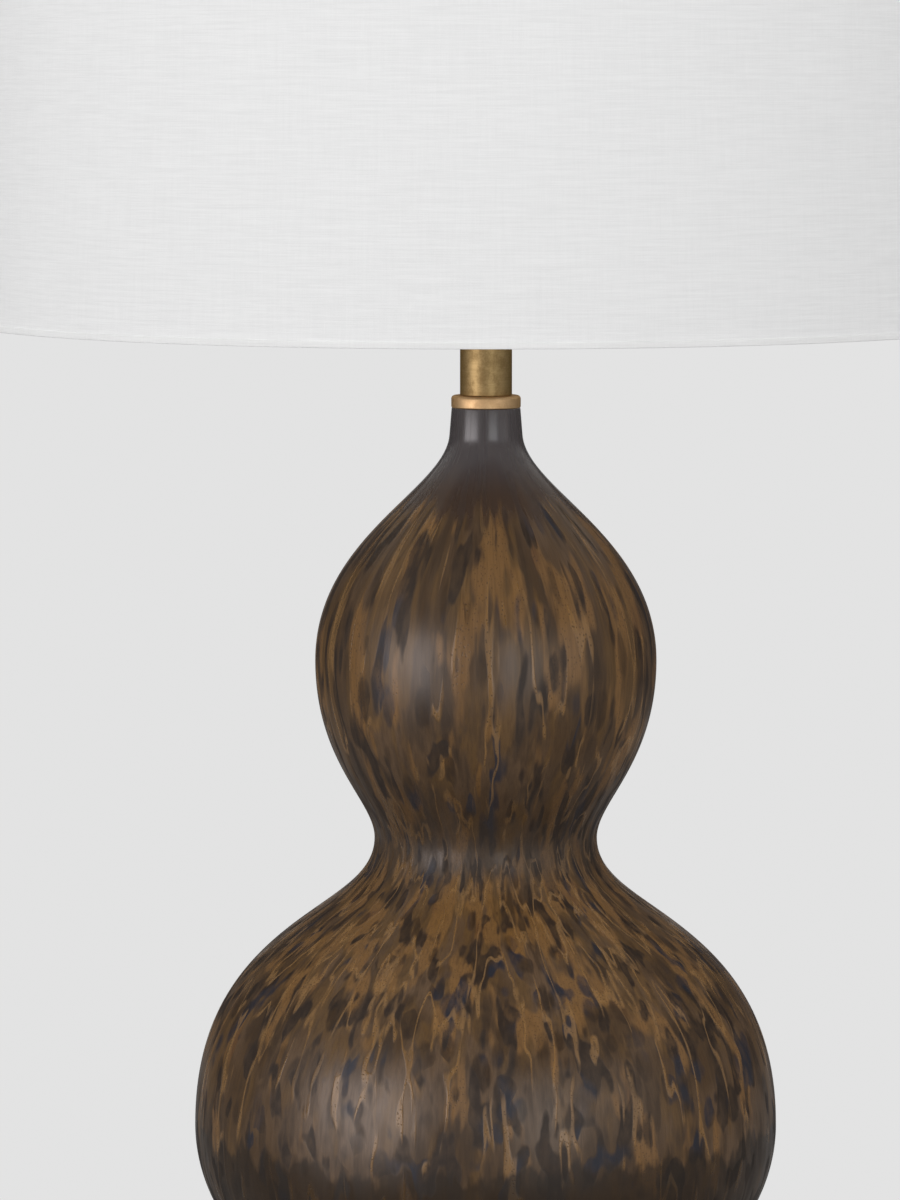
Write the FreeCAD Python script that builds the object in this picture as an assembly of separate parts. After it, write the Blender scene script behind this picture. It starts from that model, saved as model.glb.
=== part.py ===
import FreeCAD, Part
import math
import os

# Double gourd table lamp with a linen drum shade. Millimetres, +Z up, front towards -Y.
# The lamp stands on z = 0 with its centre line on the Z axis. The harp lies in the XZ plane.

V = FreeCAD.Vector
Z_AXIS = V(0, 0, 1)

# Ceramic body: radii at the foot, the belly, the waist, the upper bulb and the neck
FOOT_R = 84.0
LOWER_R = 143.8
WAIST_R = 54.8
UPPER_R = 83.8
NECK_R = 17.9
NECK_TOP_R = 16.8
# Heights of the stretches between them, stacked from the table up
FELT_T = 2.0
FOOT_H = 15.0
BELLY_RISE = 83.3
SHOULDER_RISE = 142.6
UPPER_RISE = 87.7
CROWN_RISE = 110.8
NECK_H = 13.6
# How far each curve keeps its direction as it leaves the belly, waist and upper bulb
FOOT_LEAD_OUT = 20.0
FOOT_LEAD_UP = 6.0
LOWER_LEAD_DOWN = 46.0
LOWER_LEAD_UP = 102.7
WAIST_LEAD_DOWN = 40.1
WAIST_LEAD_UP = 18.6
UPPER_LEAD_DOWN = 50.6
UPPER_LEAD_UP = 60.5
NECK_LEAD_DOWN = 27.0
# Walls of the hollow casting and the recess under the foot
BODY_WALL = 6.0
FLOOR_T = 7.0
FOOT_RING_W = 10.0
RECESS_H = 18.0
EDGE_R = 1.5

# Cord bushing in the back of the foot
CORD_BORE_R = 3.6
BUSHING_WALL = 1.4
BUSHING_FLANGE_R = 7.0
BUSHING_FLANGE_T = 1.5

# Threaded pipe that clamps the column together, with its nuts and washers
PIPE_R = 4.8
PIPE_BORE_R = 3.2
PIPE_CLEAR = 0.2
PIPE_TAIL = 4.0
RUBBER_R = 18.0
RUBBER_T = 2.0
WASHER_R = 22.0
WASHER_T = 1.6
NUT_FLATS = 16.0
BOTTOM_NUT_H = 4.5
TOP_NUT_H = 3.1

# Brass neck: cap on the ceramic, one inch tube, cover at its top
CAP_R = 17.0
CAP_H = 5.9
CAP_EDGE_R = 1.6
SPIGOT_CLEAR = 0.25
SPIGOT_H = 10.0
TUBE_R = 12.7
TUBE_WALL = 1.2
TUBE_L = 66.0
TUBE_BOSS_H = 2.5
TUBE_CAP_LIP = 1.0
TUBE_CAP_T = 3.0

# Harp saddle: bent strip with two upright arms and a tongue on each
STRIP_T = 1.4
STRIP_W = 15.0
ARM_W = 8.8
ARM_H = 12.0
ARM_SPAN = 58.0
STRIP_BEND_R = 2.0
TONGUE_W = 3.6
TONGUE_H = 10.0
TONGUE_ROOT_H = 6.0
TONGUE_SET = 0.3

# Harp: ten inches from the saddle to the shade's seat
HARP_H = 254.0
HARP_WIRE_R = 1.7
HARP_WIRE_GAP = 0.05
HARP_LEG = 28.0
HARP_HALF_W = 57.0
HARP_BEND_DEG = 40.0
EYELET_R = 8.0
EYELET_T = 2.2
EYELET_SET = 0.2
SLEEVE_WALL = 1.2
SLEEVE_BORE_R = 3.2
SLEEVE_H = 12.0
SLEEVE_CHAMFER = 0.5

# Swivel stud riveted in the harp's top
STUD_R = 3.1
STUD_CLEAR = 0.1
STUD_FLANGE_R = 6.5
STUD_FLANGE_T = 2.0
STUD_THREAD_H = 10.0
STUD_HEAD_R = 4.6
STUD_HEAD_T = 1.2
KNURL_COUNT = 24
KNURL_R = 0.5

# Socket: cap, shell, paper liner, moulded interior, screw shell and contact
SOCKET_CAP_H = 17.0
SOCKET_WALL = 0.8
SHELL_R = 16.2
SHELL_H = 46.0
SHELL_OVERLAP = 5.0
SHELL_LIP = 1.2
SOCKET_GAP = 0.1
CAP_FLOOR_R = 9.5
CAP_FLARE_H = 9.0
HUB_R = 7.2
HUB_H = 9.0
LINER_T = 0.6
INTERIOR_R = 13.9
INTERIOR_H = 22.0
WIRE_WAY_W = 6.0
WIRE_WAY_H = 5.0
FLAT_DEPTH = 2.6
FLAT_W = 10.0
FLAT_H = 9.0
SCREW_HEAD_R = 2.6
SCREW_HEAD_T = 1.7
SCREW_SHANK_R = 1.4
SCREW_SHANK_L = 4.0
SCREW_SLOT_W = 0.7
SCREW_SHELL_T = 0.35
SCREW_SHELL_H = 24.0
THREAD_PITCH = 3.6
THREAD_DEPTH = 0.4
BULB_CLEAR = 0.35
CONTACT_R = 3.0
CONTACT_H = 2.6
SET_SCREW_R = 1.6
SET_SCREW_L = 5.0

# Switch key
STEM_R = 1.6
STEM_CLEAR = 0.08
STEM_IN = 6.0
STEM_OUT = 14.0
STEM_H = 12.5
KEY_NOTCH_W = 6.0
KNOB_R = 6.0
KNOB_L = 9.0
KNOB_FLUTES = 12
KNOB_FLUTE_R = 0.9

# Bulb
BULB_BASE_R = 13.0
BULB_BASE_H = 20.0
BULB_BASE_T = 0.4
BULB_CONTACT_R = 4.7
BULB_CONTACT_T = 1.5
BULB_INSULATOR_H = 4.5
BULB_SEAT = 0.3
BULB_R = 33.5
BULB_L = 131.0
BULB_NECK_H = 27.0
GLASS_T = 1.0

# Shade
SHADE_R_BOTTOM = 254.0
SHADE_TAPER = 12.7
SHADE_H = 304.8
LINEN_T = 0.5
STYRENE_T = 0.8
RING_R = 1.75
RING_GAP = 0.05
HEM_T = 0.5
HEM_OUT_H = 3.0
HEM_IN_H = 6.0
HEM_ROUND = 0.8
SPIDER_DROP = 10.0
SPIDER_WASHER_R = 10.5
SPIDER_WASHER_T = 2.0
SPIDER_HOLE_CLEAR = 0.3
ARM_R = 1.5
ARM_COUNT = 3
ARM_RISE_DEG = 45.0
ARM_BEND_R = 8.0

# Finial
FINIAL_BASE_R = 6.5
FINIAL_BASE_H = 4.0
FINIAL_NECK_R = 3.9
FINIAL_NECK_H = 5.0
FINIAL_BALL_R = 9.5
FINIAL_TIP_R = 2.8
FINIAL_TIP_H = 3.0
FINIAL_BORE_H = 9.0
FINIAL_THREAD_CLEAR = 0.05

# Levels worked out from the stack
FOOT_TOP = FELT_T + FOOT_H
LOWER_Z = FOOT_TOP + BELLY_RISE
WAIST_Z = LOWER_Z + SHOULDER_RISE
UPPER_Z = WAIST_Z + UPPER_RISE
NECK_Z = UPPER_Z + CROWN_RISE
BODY_TOP = NECK_Z + NECK_H
RECESS_ROOF = FELT_T + RECESS_H
FLOOR_Z = RECESS_ROOF + FLOOR_T
CORD_Z = FELT_T + FOOT_H / 2
RUBBER_Z = RECESS_ROOF - RUBBER_T
WASHER_Z = RUBBER_Z - WASHER_T
BOTTOM_NUT_Z = WASHER_Z - BOTTOM_NUT_H
NECK_BORE_R = NECK_TOP_R - BODY_WALL
CAP_TOP = BODY_TOP + CAP_H
TUBE_TOP = CAP_TOP + TUBE_L
TUBE_CAP_TOP = TUBE_TOP + TUBE_CAP_T
SADDLE_Z = TUBE_CAP_TOP + TOP_NUT_H
SOCKET_Z = SADDLE_Z + STRIP_T
ARM_TOP = SADDLE_Z + ARM_H
HARP_TOP = SADDLE_Z + HARP_H
STUD_TOP = HARP_TOP + STUD_FLANGE_T
SPIDER_Z = STUD_TOP + SPIDER_WASHER_T / 2
WASHER_TOP = STUD_TOP + SPIDER_WASHER_T
SHADE_TOP = SPIDER_Z + SPIDER_DROP + RING_R + HEM_T
SHADE_BOTTOM = SHADE_TOP - SHADE_H
ARM_OUTER_X = ARM_SPAN / 2
HARP_FOOT_X = ARM_OUTER_X - STRIP_T - TONGUE_SET + HARP_WIRE_GAP + HARP_WIRE_R
PIPE_HOLE_R = PIPE_R + PIPE_CLEAR


def outline(points):
    """Closed face in the XZ plane through (r, z) or (r, z, corner radius) points."""
    count = len(points)
    corners = []
    for i in range(count):
        here = V(points[i][0], 0, points[i][1])
        if len(points[i]) == 2:
            corners.append((here, None, here))
            continue
        before = V(points[i - 1][0], 0, points[i - 1][1])
        after = V(points[(i + 1) % count][0], 0, points[(i + 1) % count][1])
        to_before = (before - here).normalize()
        to_after = (after - here).normalize()
        half = to_before.getAngle(to_after) / 2
        radius = points[i][2]
        reach = radius / math.tan(half)
        inwards = (to_before + to_after).normalize()
        middle = here + inwards * (radius / math.sin(half) - radius)
        corners.append((here + to_before * reach, middle, here + to_after * reach))
    edges = []
    for i in range(count):
        start, middle, end = corners[i]
        if middle:
            edges.append(Part.Arc(start, middle, end).toShape())
        following = corners[(i + 1) % count][0]
        if (following - end).Length > 1e-6:
            edges.append(Part.LineSegment(end, following).toShape())
    return Part.Face(Part.Wire(edges))


def turned(points):
    """Solid turned about the Z axis from an outline."""
    return outline(points).revolve(V(0, 0, 0), Z_AXIS, 360)


def disc(radius, z, height, hole=0.0):
    solid = Part.makeCylinder(radius, height, V(0, 0, z))
    if hole:
        solid = solid.cut(Part.makeCylinder(hole, height, V(0, 0, z)))
    return solid


def hex_nut(z, height):
    corner_r = NUT_FLATS / math.sqrt(3)
    corners = [V(corner_r * math.cos(math.radians(60 * i)), corner_r * math.sin(math.radians(60 * i)), z)
               for i in range(7)]
    nut = Part.Face(Part.makePolygon(corners)).extrude(V(0, 0, height))
    return nut.cut(Part.makeCylinder(PIPE_R, height, V(0, 0, z)))


def swept_rod(edges, radius):
    """Round wire along a path of lines and tangent arcs."""
    path = Part.Wire(edges)
    start = edges[0].firstVertex().Point
    along = edges[0].tangentAt(edges[0].FirstParameter)
    section = Part.Wire(Part.makeCircle(radius, start, along))
    return path.makePipeShell([section], True, False)


def arc_turn(start, heading_deg, radius, turn_deg):
    """Tangent arc in the XZ plane from start; returns its edge, end point and new heading."""
    side = math.copysign(1, turn_deg)
    to_centre = math.radians(heading_deg + 90 * side)
    centre = start + V(math.cos(to_centre), 0, math.sin(to_centre)) * radius

    def at(share):
        angle = to_centre + math.pi + math.radians(turn_deg * share)
        return centre + V(math.cos(angle), 0, math.sin(angle)) * radius

    return Part.Arc(start, at(0.5), at(1)).toShape(), at(1), heading_deg + turn_deg


def rib_row(radius, depth, z, height):
    """Points of a rolled thread's outline, as ribs up a wall from z."""
    turns = int(height / THREAD_PITCH)
    bottom = z + (height - turns * THREAD_PITCH) / 2
    points = []
    for i in range(turns):
        foot = bottom + i * THREAD_PITCH
        points.append((radius - depth, foot + depth))
        points.append((radius, foot + 2 * depth))
        points.append((radius, foot + THREAD_PITCH - 2 * depth))
        points.append((radius - depth, foot + THREAD_PITCH - depth))
    return points


# Ceramic body

def span(points):
    curve = Part.BezierCurve()
    curve.setPoles([V(r, 0, z) for r, z in points])
    return curve


def gourd_spans():
    """The meridian from the foot to the neck: each curve leaves belly, waist and bulb upright."""
    neck_taper = (NECK_R - NECK_TOP_R) / NECK_H
    return [
        span([(FOOT_R, FOOT_TOP), (FOOT_R + FOOT_LEAD_OUT, FOOT_TOP + FOOT_LEAD_UP),
              (LOWER_R, LOWER_Z - LOWER_LEAD_DOWN), (LOWER_R, LOWER_Z)]),
        span([(LOWER_R, LOWER_Z), (LOWER_R, LOWER_Z + LOWER_LEAD_UP),
              (WAIST_R, WAIST_Z - WAIST_LEAD_DOWN), (WAIST_R, WAIST_Z)]),
        span([(WAIST_R, WAIST_Z), (WAIST_R, WAIST_Z + WAIST_LEAD_UP),
              (UPPER_R, UPPER_Z - UPPER_LEAD_DOWN), (UPPER_R, UPPER_Z)]),
        span([(UPPER_R, UPPER_Z), (UPPER_R, UPPER_Z + UPPER_LEAD_UP),
              (NECK_R + neck_taper * NECK_LEAD_DOWN, NECK_Z - NECK_LEAD_DOWN), (NECK_R, NECK_Z)]),
    ]


def wall_point(curve, at):
    """Point BODY_WALL inside the meridian."""
    along = curve.tangent(at)[0]
    return curve.value(at) + V(-along.z, 0, along.x) * BODY_WALL


def inner_wall():
    """Curve that runs BODY_WALL inside the meridian, from the floor to the neck's bore."""
    spans = gourd_spans()
    low, high = 0.0, 1.0
    while high - low > 1e-6:
        middle = (low + high) / 2
        if wall_point(spans[0], middle).z < FLOOR_Z:
            low = middle
        else:
            high = middle
    starts = [high, 0, 0, 0]
    samples = 6
    points = []
    for curve, start in zip(spans, starts):
        for i in range(samples):
            point = wall_point(curve, start + (1 - start) * i / samples)
            if point.x > NECK_BORE_R:
                points.append(point)
    points.append(V(NECK_BORE_R, 0, NECK_Z))
    wall = Part.BSplineCurve()
    wall.interpolate(points)
    return wall


def gourd_body():
    spans = [curve.toShape() for curve in gourd_spans()]
    corners = [(NECK_R, NECK_Z), (NECK_TOP_R, BODY_TOP), (0, BODY_TOP), (0, FELT_T),
               (FOOT_R - EDGE_R, FELT_T), (FOOT_R, FELT_T + EDGE_R), (FOOT_R, FOOT_TOP)]
    points = [V(r, 0, z) for r, z in corners]
    edges = [Part.LineSegment(a, b).toShape() for a, b in zip(points, points[1:])]
    body = Part.Face(Part.Wire(spans + edges)).revolve(V(0, 0, 0), Z_AXIS, 360)

    wall = inner_wall()
    foot_of_wall = wall.value(wall.FirstParameter)
    top_of_wall = wall.value(wall.LastParameter)
    lines = [top_of_wall, V(NECK_BORE_R, 0, BODY_TOP), V(0, 0, BODY_TOP), V(0, 0, foot_of_wall.z),
             foot_of_wall]
    edges = [Part.LineSegment(a, b).toShape() for a, b in zip(lines, lines[1:])]
    hollow = Part.Face(Part.Wire([wall.toShape()] + edges)).revolve(V(0, 0, 0), Z_AXIS, 360)
    body = body.cut(hollow)
    body = body.cut(disc(FOOT_R - FOOT_RING_W, FELT_T, RECESS_H))
    body = body.cut(disc(PIPE_HOLE_R, RECESS_ROOF, FLOOR_T))
    cord_hole = Part.makeCylinder(CORD_BORE_R + BUSHING_WALL, 2 * FOOT_RING_W,
                                  V(0, FOOT_R - 1.5 * FOOT_RING_W, CORD_Z), V(0, 1, 0))
    return body.cut(cord_hole)


def base_felt():
    return disc(FOOT_R - 2 * EDGE_R, 0, FELT_T)


def cord_bushing():
    """Sleeve through the foot ring, with a flange that fits the round of the foot."""
    start = V(0, FOOT_R - FOOT_RING_W, CORD_Z)
    sleeve = Part.makeCylinder(CORD_BORE_R + BUSHING_WALL, FOOT_RING_W, start, V(0, 1, 0))
    flange = Part.makeCylinder(BUSHING_FLANGE_R, FOOT_RING_W + BUSHING_FLANGE_T, start, V(0, 1, 0))
    flange = flange.cut(disc(FOOT_R, 0, FOOT_TOP + BUSHING_FLANGE_R))
    bore = Part.makeCylinder(CORD_BORE_R, 2 * FOOT_RING_W, start, V(0, 1, 0))
    sleeve = sleeve.common(disc(FOOT_R, 0, FOOT_TOP + BUSHING_FLANGE_R))
    return sleeve.fuse(flange).cut(bore).removeSplitter()


# Clamping hardware

def lamp_pipe():
    bottom = BOTTOM_NUT_Z - PIPE_TAIL
    return disc(PIPE_R, bottom, SOCKET_Z + HUB_H - SOCKET_WALL - bottom, PIPE_BORE_R)


# Brass neck

def neck_cap():
    spigot_r = NECK_BORE_R - SPIGOT_CLEAR
    boss_r = TUBE_R - TUBE_WALL - SPIGOT_CLEAR / 2
    return turned([
        (PIPE_HOLE_R, BODY_TOP - SPIGOT_H), (spigot_r, BODY_TOP - SPIGOT_H), (spigot_r, BODY_TOP),
        (CAP_R, BODY_TOP), (CAP_R, CAP_TOP, CAP_EDGE_R), (boss_r, CAP_TOP),
        (boss_r, CAP_TOP + TUBE_BOSS_H), (PIPE_HOLE_R, CAP_TOP + TUBE_BOSS_H)])


def neck_tube():
    return disc(TUBE_R, CAP_TOP, TUBE_L, TUBE_R - TUBE_WALL)


def tube_cap():
    boss_r = TUBE_R - TUBE_WALL - SPIGOT_CLEAR / 2
    rim_r = TUBE_R + TUBE_CAP_LIP
    return turned([
        (PIPE_HOLE_R, TUBE_TOP - TUBE_BOSS_H), (boss_r, TUBE_TOP - TUBE_BOSS_H), (boss_r, TUBE_TOP),
        (rim_r, TUBE_TOP), (rim_r, TUBE_CAP_TOP, TUBE_CAP_LIP), (PIPE_HOLE_R, TUBE_CAP_TOP)])


# Harp saddle

def harp_saddle():
    outer = ARM_OUTER_X
    inner = ARM_OUTER_X - STRIP_T
    bend = STRIP_BEND_R
    strip = outline([
        (-outer, SADDLE_Z, bend + STRIP_T), (outer, SADDLE_Z, bend + STRIP_T), (outer, ARM_TOP),
        (inner, ARM_TOP), (inner, SOCKET_Z, bend), (-inner, SOCKET_Z, bend),
        (-inner, ARM_TOP), (-outer, ARM_TOP)])
    strip.translate(V(0, -STRIP_W / 2, 0))
    strip = strip.extrude(V(0, STRIP_W, 0))
    waist = NUT_FLATS
    shape = [(-outer, -ARM_W / 2), (-waist, -ARM_W / 2), (-waist / 2, -STRIP_W / 2),
             (waist / 2, -STRIP_W / 2), (waist, -ARM_W / 2), (outer, -ARM_W / 2)]
    shape = shape + [(x, -y) for x, y in reversed(shape)]
    plan = Part.Face(Part.makePolygon([V(x, y, SADDLE_Z) for x, y in shape + shape[:1]]))
    strip = strip.common(plan.extrude(V(0, 0, ARM_H)))
    strip = strip.cut(disc(PIPE_HOLE_R, SADDLE_Z, STRIP_T))
    for side in (-1, 1):
        face = inner - TONGUE_SET
        root = outline([
            (face - STRIP_T, ARM_TOP - TONGUE_ROOT_H + STRIP_T), (inner, ARM_TOP - TONGUE_ROOT_H),
            (inner, ARM_TOP), (face, ARM_TOP), (face, ARM_TOP + TONGUE_H),
            (face - STRIP_T, ARM_TOP + TONGUE_H)])
        root.translate(V(0, -TONGUE_W / 2, 0))
        tongue = root.extrude(V(0, TONGUE_W, 0))
        if side < 0:
            tongue = tongue.mirror(V(0, 0, 0), V(1, 0, 0))
        strip = strip.fuse(tongue)
    return strip.removeSplitter()


# Harp, sleeves and stud

EYELET_HOLE_R = STUD_R + STUD_CLEAR
HARP_WIRE_TOP = HARP_TOP - EYELET_SET - HARP_WIRE_R


def harp_wire():
    """Half the bow is swept from inside the eyelet down to its foot, then mirrored."""
    bend_deg = HARP_BEND_DEG
    bend_r = (HARP_HALF_W - HARP_FOOT_X) / (2 * (1 - math.cos(math.radians(bend_deg))))
    start = V(STUD_HEAD_R + STUD_CLEAR, 0, HARP_WIRE_TOP)
    shoulder = start + V(HARP_WIRE_R, 0, 0)
    top_r = HARP_HALF_W - shoulder.x
    edges = [Part.LineSegment(start, shoulder).toShape()]
    edge, point, heading = arc_turn(shoulder, 0, top_r, -90)
    edges.append(edge)
    bends_h = 2 * bend_r * math.sin(math.radians(bend_deg))
    side_end = V(HARP_HALF_W, 0, ARM_TOP + HARP_LEG + bends_h)
    edges.append(Part.LineSegment(point, side_end).toShape())
    edge, point, heading = arc_turn(side_end, heading, bend_r, -bend_deg)
    edges.append(edge)
    edge, point, heading = arc_turn(point, heading, bend_r, bend_deg)
    edges.append(edge)
    edges.append(Part.LineSegment(point, V(point.x, 0, ARM_TOP)).toShape())
    half = swept_rod(edges, HARP_WIRE_R)
    eyelet = disc(EYELET_R, HARP_TOP - EYELET_T, EYELET_T, EYELET_HOLE_R)
    return eyelet.fuse([half, half.mirror(V(0, 0, 0), V(1, 0, 0))]).removeSplitter()


def harp_sleeve(side):
    outer = SLEEVE_BORE_R + SLEEVE_WALL
    sleeve = turned([
        (SLEEVE_BORE_R, ARM_TOP), (outer - SLEEVE_CHAMFER, ARM_TOP), (outer, ARM_TOP + SLEEVE_CHAMFER),
        (outer, ARM_TOP + SLEEVE_H - SLEEVE_CHAMFER), (outer - SLEEVE_CHAMFER, ARM_TOP + SLEEVE_H),
        (SLEEVE_BORE_R, ARM_TOP + SLEEVE_H)])
    sleeve.translate(V(side * (ARM_OUTER_X - STRIP_T / 2), 0, 0))
    return sleeve


def harp_stud():
    """Rivet head under the eyelet, knurled flange on it, and the thread for the finial."""
    under = HARP_TOP - EYELET_T - STUD_CLEAR
    stud = turned([
        (0, under - STUD_HEAD_T), (STUD_HEAD_R, under - STUD_HEAD_T), (STUD_HEAD_R, under),
        (STUD_R, under), (STUD_R, HARP_TOP), (STUD_FLANGE_R, HARP_TOP), (STUD_FLANGE_R, STUD_TOP),
        (STUD_R, STUD_TOP), (STUD_R, STUD_TOP + STUD_THREAD_H, STUD_CLEAR * 4),
        (0, STUD_TOP + STUD_THREAD_H)])
    grooves = []
    for i in range(KNURL_COUNT):
        angle = 2 * math.pi * i / KNURL_COUNT
        place = V(STUD_FLANGE_R * math.cos(angle), STUD_FLANGE_R * math.sin(angle), HARP_TOP)
        grooves.append(Part.makeCylinder(KNURL_R, STUD_FLANGE_T, place))
    return stud.cut(Part.makeCompound(grooves))


# Socket

SET_SCREW_Z = SOCKET_Z + HUB_H / 2
SHELL_Z = SOCKET_Z + SOCKET_CAP_H - SHELL_OVERLAP
SHELL_TOP = SHELL_Z + SHELL_H
SHELL_IN_R = SHELL_R - SOCKET_WALL
SOCKET_CAP_R = SHELL_IN_R - SOCKET_GAP
INTERIOR_Z = SOCKET_Z + HUB_H
INTERIOR_TOP = INTERIOR_Z + INTERIOR_H
KEY_Z = INTERIOR_Z + STEM_H
SCREW_PLACE_Z = INTERIOR_Z + INTERIOR_H / 2
SCREW_Z = INTERIOR_TOP
BULB_Z = INTERIOR_TOP + CONTACT_H + BULB_SEAT
BULB_CAP_Z = BULB_Z + BULB_CONTACT_T + BULB_INSULATOR_H
SCREW_CREST_R = BULB_BASE_R + BULB_CLEAR


def socket_cap():
    wall = SOCKET_WALL
    bowl_r = SOCKET_CAP_R
    rim = SOCKET_Z + SOCKET_CAP_H
    flare = SOCKET_Z + CAP_FLARE_H
    cap = turned([
        (PIPE_R, SOCKET_Z), (CAP_FLOOR_R, SOCKET_Z, 2.0), (bowl_r, flare, CAP_FLARE_H / 2),
        (bowl_r, rim), (bowl_r - wall, rim), (bowl_r - wall, flare, CAP_FLARE_H / 2 - wall),
        (CAP_FLOOR_R, SOCKET_Z + wall, 2.0 + wall), (HUB_R, SOCKET_Z + wall),
        (HUB_R, SOCKET_Z + HUB_H), (PIPE_R, SOCKET_Z + HUB_H)])
    return cap.cut(set_screw_hole())


def set_screw_hole():
    return Part.makeCylinder(SET_SCREW_R, HUB_R, V(0, PIPE_R / 2, SET_SCREW_Z), V(0, 1, 0))


def socket_set_screw():
    """Headless screw in the hub that stops the socket turning on the pipe."""
    screw = Part.makeCylinder(SET_SCREW_R, SET_SCREW_L, V(0, PIPE_R, SET_SCREW_Z), V(0, 1, 0))
    slot = Part.makeBox(SCREW_SLOT_W, SET_SCREW_R / 2, 2 * SET_SCREW_R,
                        V(-SCREW_SLOT_W / 2, PIPE_R + SET_SCREW_L - SET_SCREW_R / 2,
                          SET_SCREW_Z - SET_SCREW_R))
    return screw.cut(slot)


def key_notch(z):
    """Slot at the front, open at the bottom, that passes the switch stem."""
    notch = Part.makeBox(KEY_NOTCH_W, SHELL_R, KEY_Z - z, V(-KEY_NOTCH_W / 2, -SHELL_R - 1, z))
    return notch.fuse(Part.makeCylinder(KEY_NOTCH_W / 2, SHELL_R, V(0, -SHELL_R - 1, KEY_Z), V(0, 1, 0)))


def socket_shell():
    lip_r = SHELL_R - SHELL_LIP
    shell = turned([
        (SHELL_IN_R, SHELL_Z), (SHELL_R, SHELL_Z), (SHELL_R, SHELL_TOP, SHELL_LIP),
        (lip_r - SOCKET_WALL, SHELL_TOP), (lip_r - SOCKET_WALL, SHELL_TOP - SOCKET_WALL),
        (SHELL_IN_R, SHELL_TOP - SOCKET_WALL)])
    beads = [Part.makeTorus(SHELL_R, SOCKET_WALL / 2, V(0, 0, SHELL_Z + SHELL_OVERLAP + SHELL_LIP * step))
             for step in (1, 3)]
    return shell.fuse(beads).cut(key_notch(SHELL_Z)).cut(disc(SHELL_IN_R, SHELL_Z, SHELL_OVERLAP * 3))


def socket_paper_liner():
    outer = SHELL_IN_R - SOCKET_GAP
    bottom = SOCKET_Z + SOCKET_CAP_H
    liner = disc(outer, bottom, SHELL_TOP - SOCKET_WALL - bottom, outer - LINER_T)
    return liner.cut(key_notch(bottom))


def socket_interior():
    body = disc(INTERIOR_R, INTERIOR_Z, INTERIOR_H)
    body = body.cut(Part.makeBox(WIRE_WAY_W, 2 * INTERIOR_R, WIRE_WAY_H,
                                 V(-WIRE_WAY_W / 2, -INTERIOR_R, INTERIOR_Z)))
    flat_x = INTERIOR_R - FLAT_DEPTH
    for side in (-1, 1):
        pocket = Part.makeBox(FLAT_DEPTH, FLAT_W, FLAT_H,
                              V(flat_x if side > 0 else -INTERIOR_R, -FLAT_W / 2, SCREW_PLACE_Z - FLAT_H / 2))
        hole = Part.makeCylinder(SCREW_SHANK_R, SCREW_SHANK_L,
                                 V(side * (flat_x - SCREW_SHANK_L), 0, SCREW_PLACE_Z), V(side, 0, 0))
        body = body.cut(pocket).cut(hole)
    stem_hole = Part.makeCylinder(STEM_R + STEM_CLEAR, STEM_IN, V(0, -INTERIOR_R, KEY_Z), V(0, 1, 0))
    return body.cut(stem_hole)


def terminal_screws():
    screws = []
    for side in (-1, 1):
        seat = side * (INTERIOR_R - FLAT_DEPTH)
        head = Part.makeCylinder(SCREW_HEAD_R, SCREW_HEAD_T, V(seat, 0, SCREW_PLACE_Z), V(side, 0, 0))
        shank = Part.makeCylinder(SCREW_SHANK_R, SCREW_SHANK_L, V(seat, 0, SCREW_PLACE_Z), V(-side, 0, 0))
        slot = Part.makeBox(SCREW_HEAD_T / 2, SCREW_SLOT_W, 2 * SCREW_HEAD_R,
                            V(-SCREW_HEAD_T / 4, -SCREW_SLOT_W / 2, SCREW_PLACE_Z - SCREW_HEAD_R))
        slot.translate(V(seat + side * 0.75 * SCREW_HEAD_T, 0, 0))
        screws.append(head.fuse(shank).cut(slot))
    return Part.makeCompound(screws)


def screw_shell():
    """Rolled thread cup that takes the bulb's base, with a flange on the moulded interior."""
    wall = SCREW_SHELL_T
    crest = SCREW_CREST_R + THREAD_DEPTH
    top = SCREW_Z + SCREW_SHELL_H
    ribs = rib_row(crest, THREAD_DEPTH, SCREW_Z + THREAD_PITCH / 2, SCREW_SHELL_H - THREAD_PITCH)
    inside = [(SCREW_CREST_R, SCREW_Z + wall)] + ribs + [(SCREW_CREST_R, top)]
    outside = [(SCREW_CREST_R + wall, top)]
    outside += [(r + wall, z) for r, z in reversed(ribs)]
    outside += [(SCREW_CREST_R + wall, SCREW_Z)]
    return turned([(CONTACT_R + 2, SCREW_Z), (CONTACT_R + 2, SCREW_Z + wall)] + inside + outside)


def centre_contact():
    """Spring tongue with a raised dimple under the bulb's contact."""
    half = CONTACT_R / 2
    return turned([
        (0, SCREW_Z), (CONTACT_R, SCREW_Z), (CONTACT_R, SCREW_Z + CONTACT_H / 3),
        (half, SCREW_Z + CONTACT_H, CONTACT_H / 4), (0, SCREW_Z + CONTACT_H)])


# Switch key

def switch_stem():
    start = -INTERIOR_R + STEM_IN - STEM_CLEAR
    length = STEM_IN + STEM_OUT + KNOB_L / 2
    return Part.makeCylinder(STEM_R, length, V(0, start, KEY_Z), V(0, -1, 0))


def switch_knob():
    """Fluted knob pushed on the stem."""
    face = -INTERIOR_R - STEM_OUT - STEM_CLEAR
    knob = turned([(0, 0), (KNOB_R * 0.75, 0), (KNOB_R, KNOB_L / 4, KNOB_R / 4),
                   (KNOB_R, KNOB_L, KNOB_R / 5), (0, KNOB_L)])
    flutes = []
    for i in range(KNOB_FLUTES):
        angle = 2 * math.pi * i / KNOB_FLUTES
        place = V(KNOB_R * math.cos(angle), KNOB_R * math.sin(angle), 0)
        flutes.append(Part.makeCylinder(KNOB_FLUTE_R, KNOB_L, place))
    knob = knob.cut(Part.makeCompound(flutes))
    knob = knob.cut(disc(STEM_R, 0, KNOB_L / 2))
    knob.rotate(V(0, 0, 0), V(1, 0, 0), 90)
    knob.translate(V(0, face, KEY_Z))
    return knob


# Bulb

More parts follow.
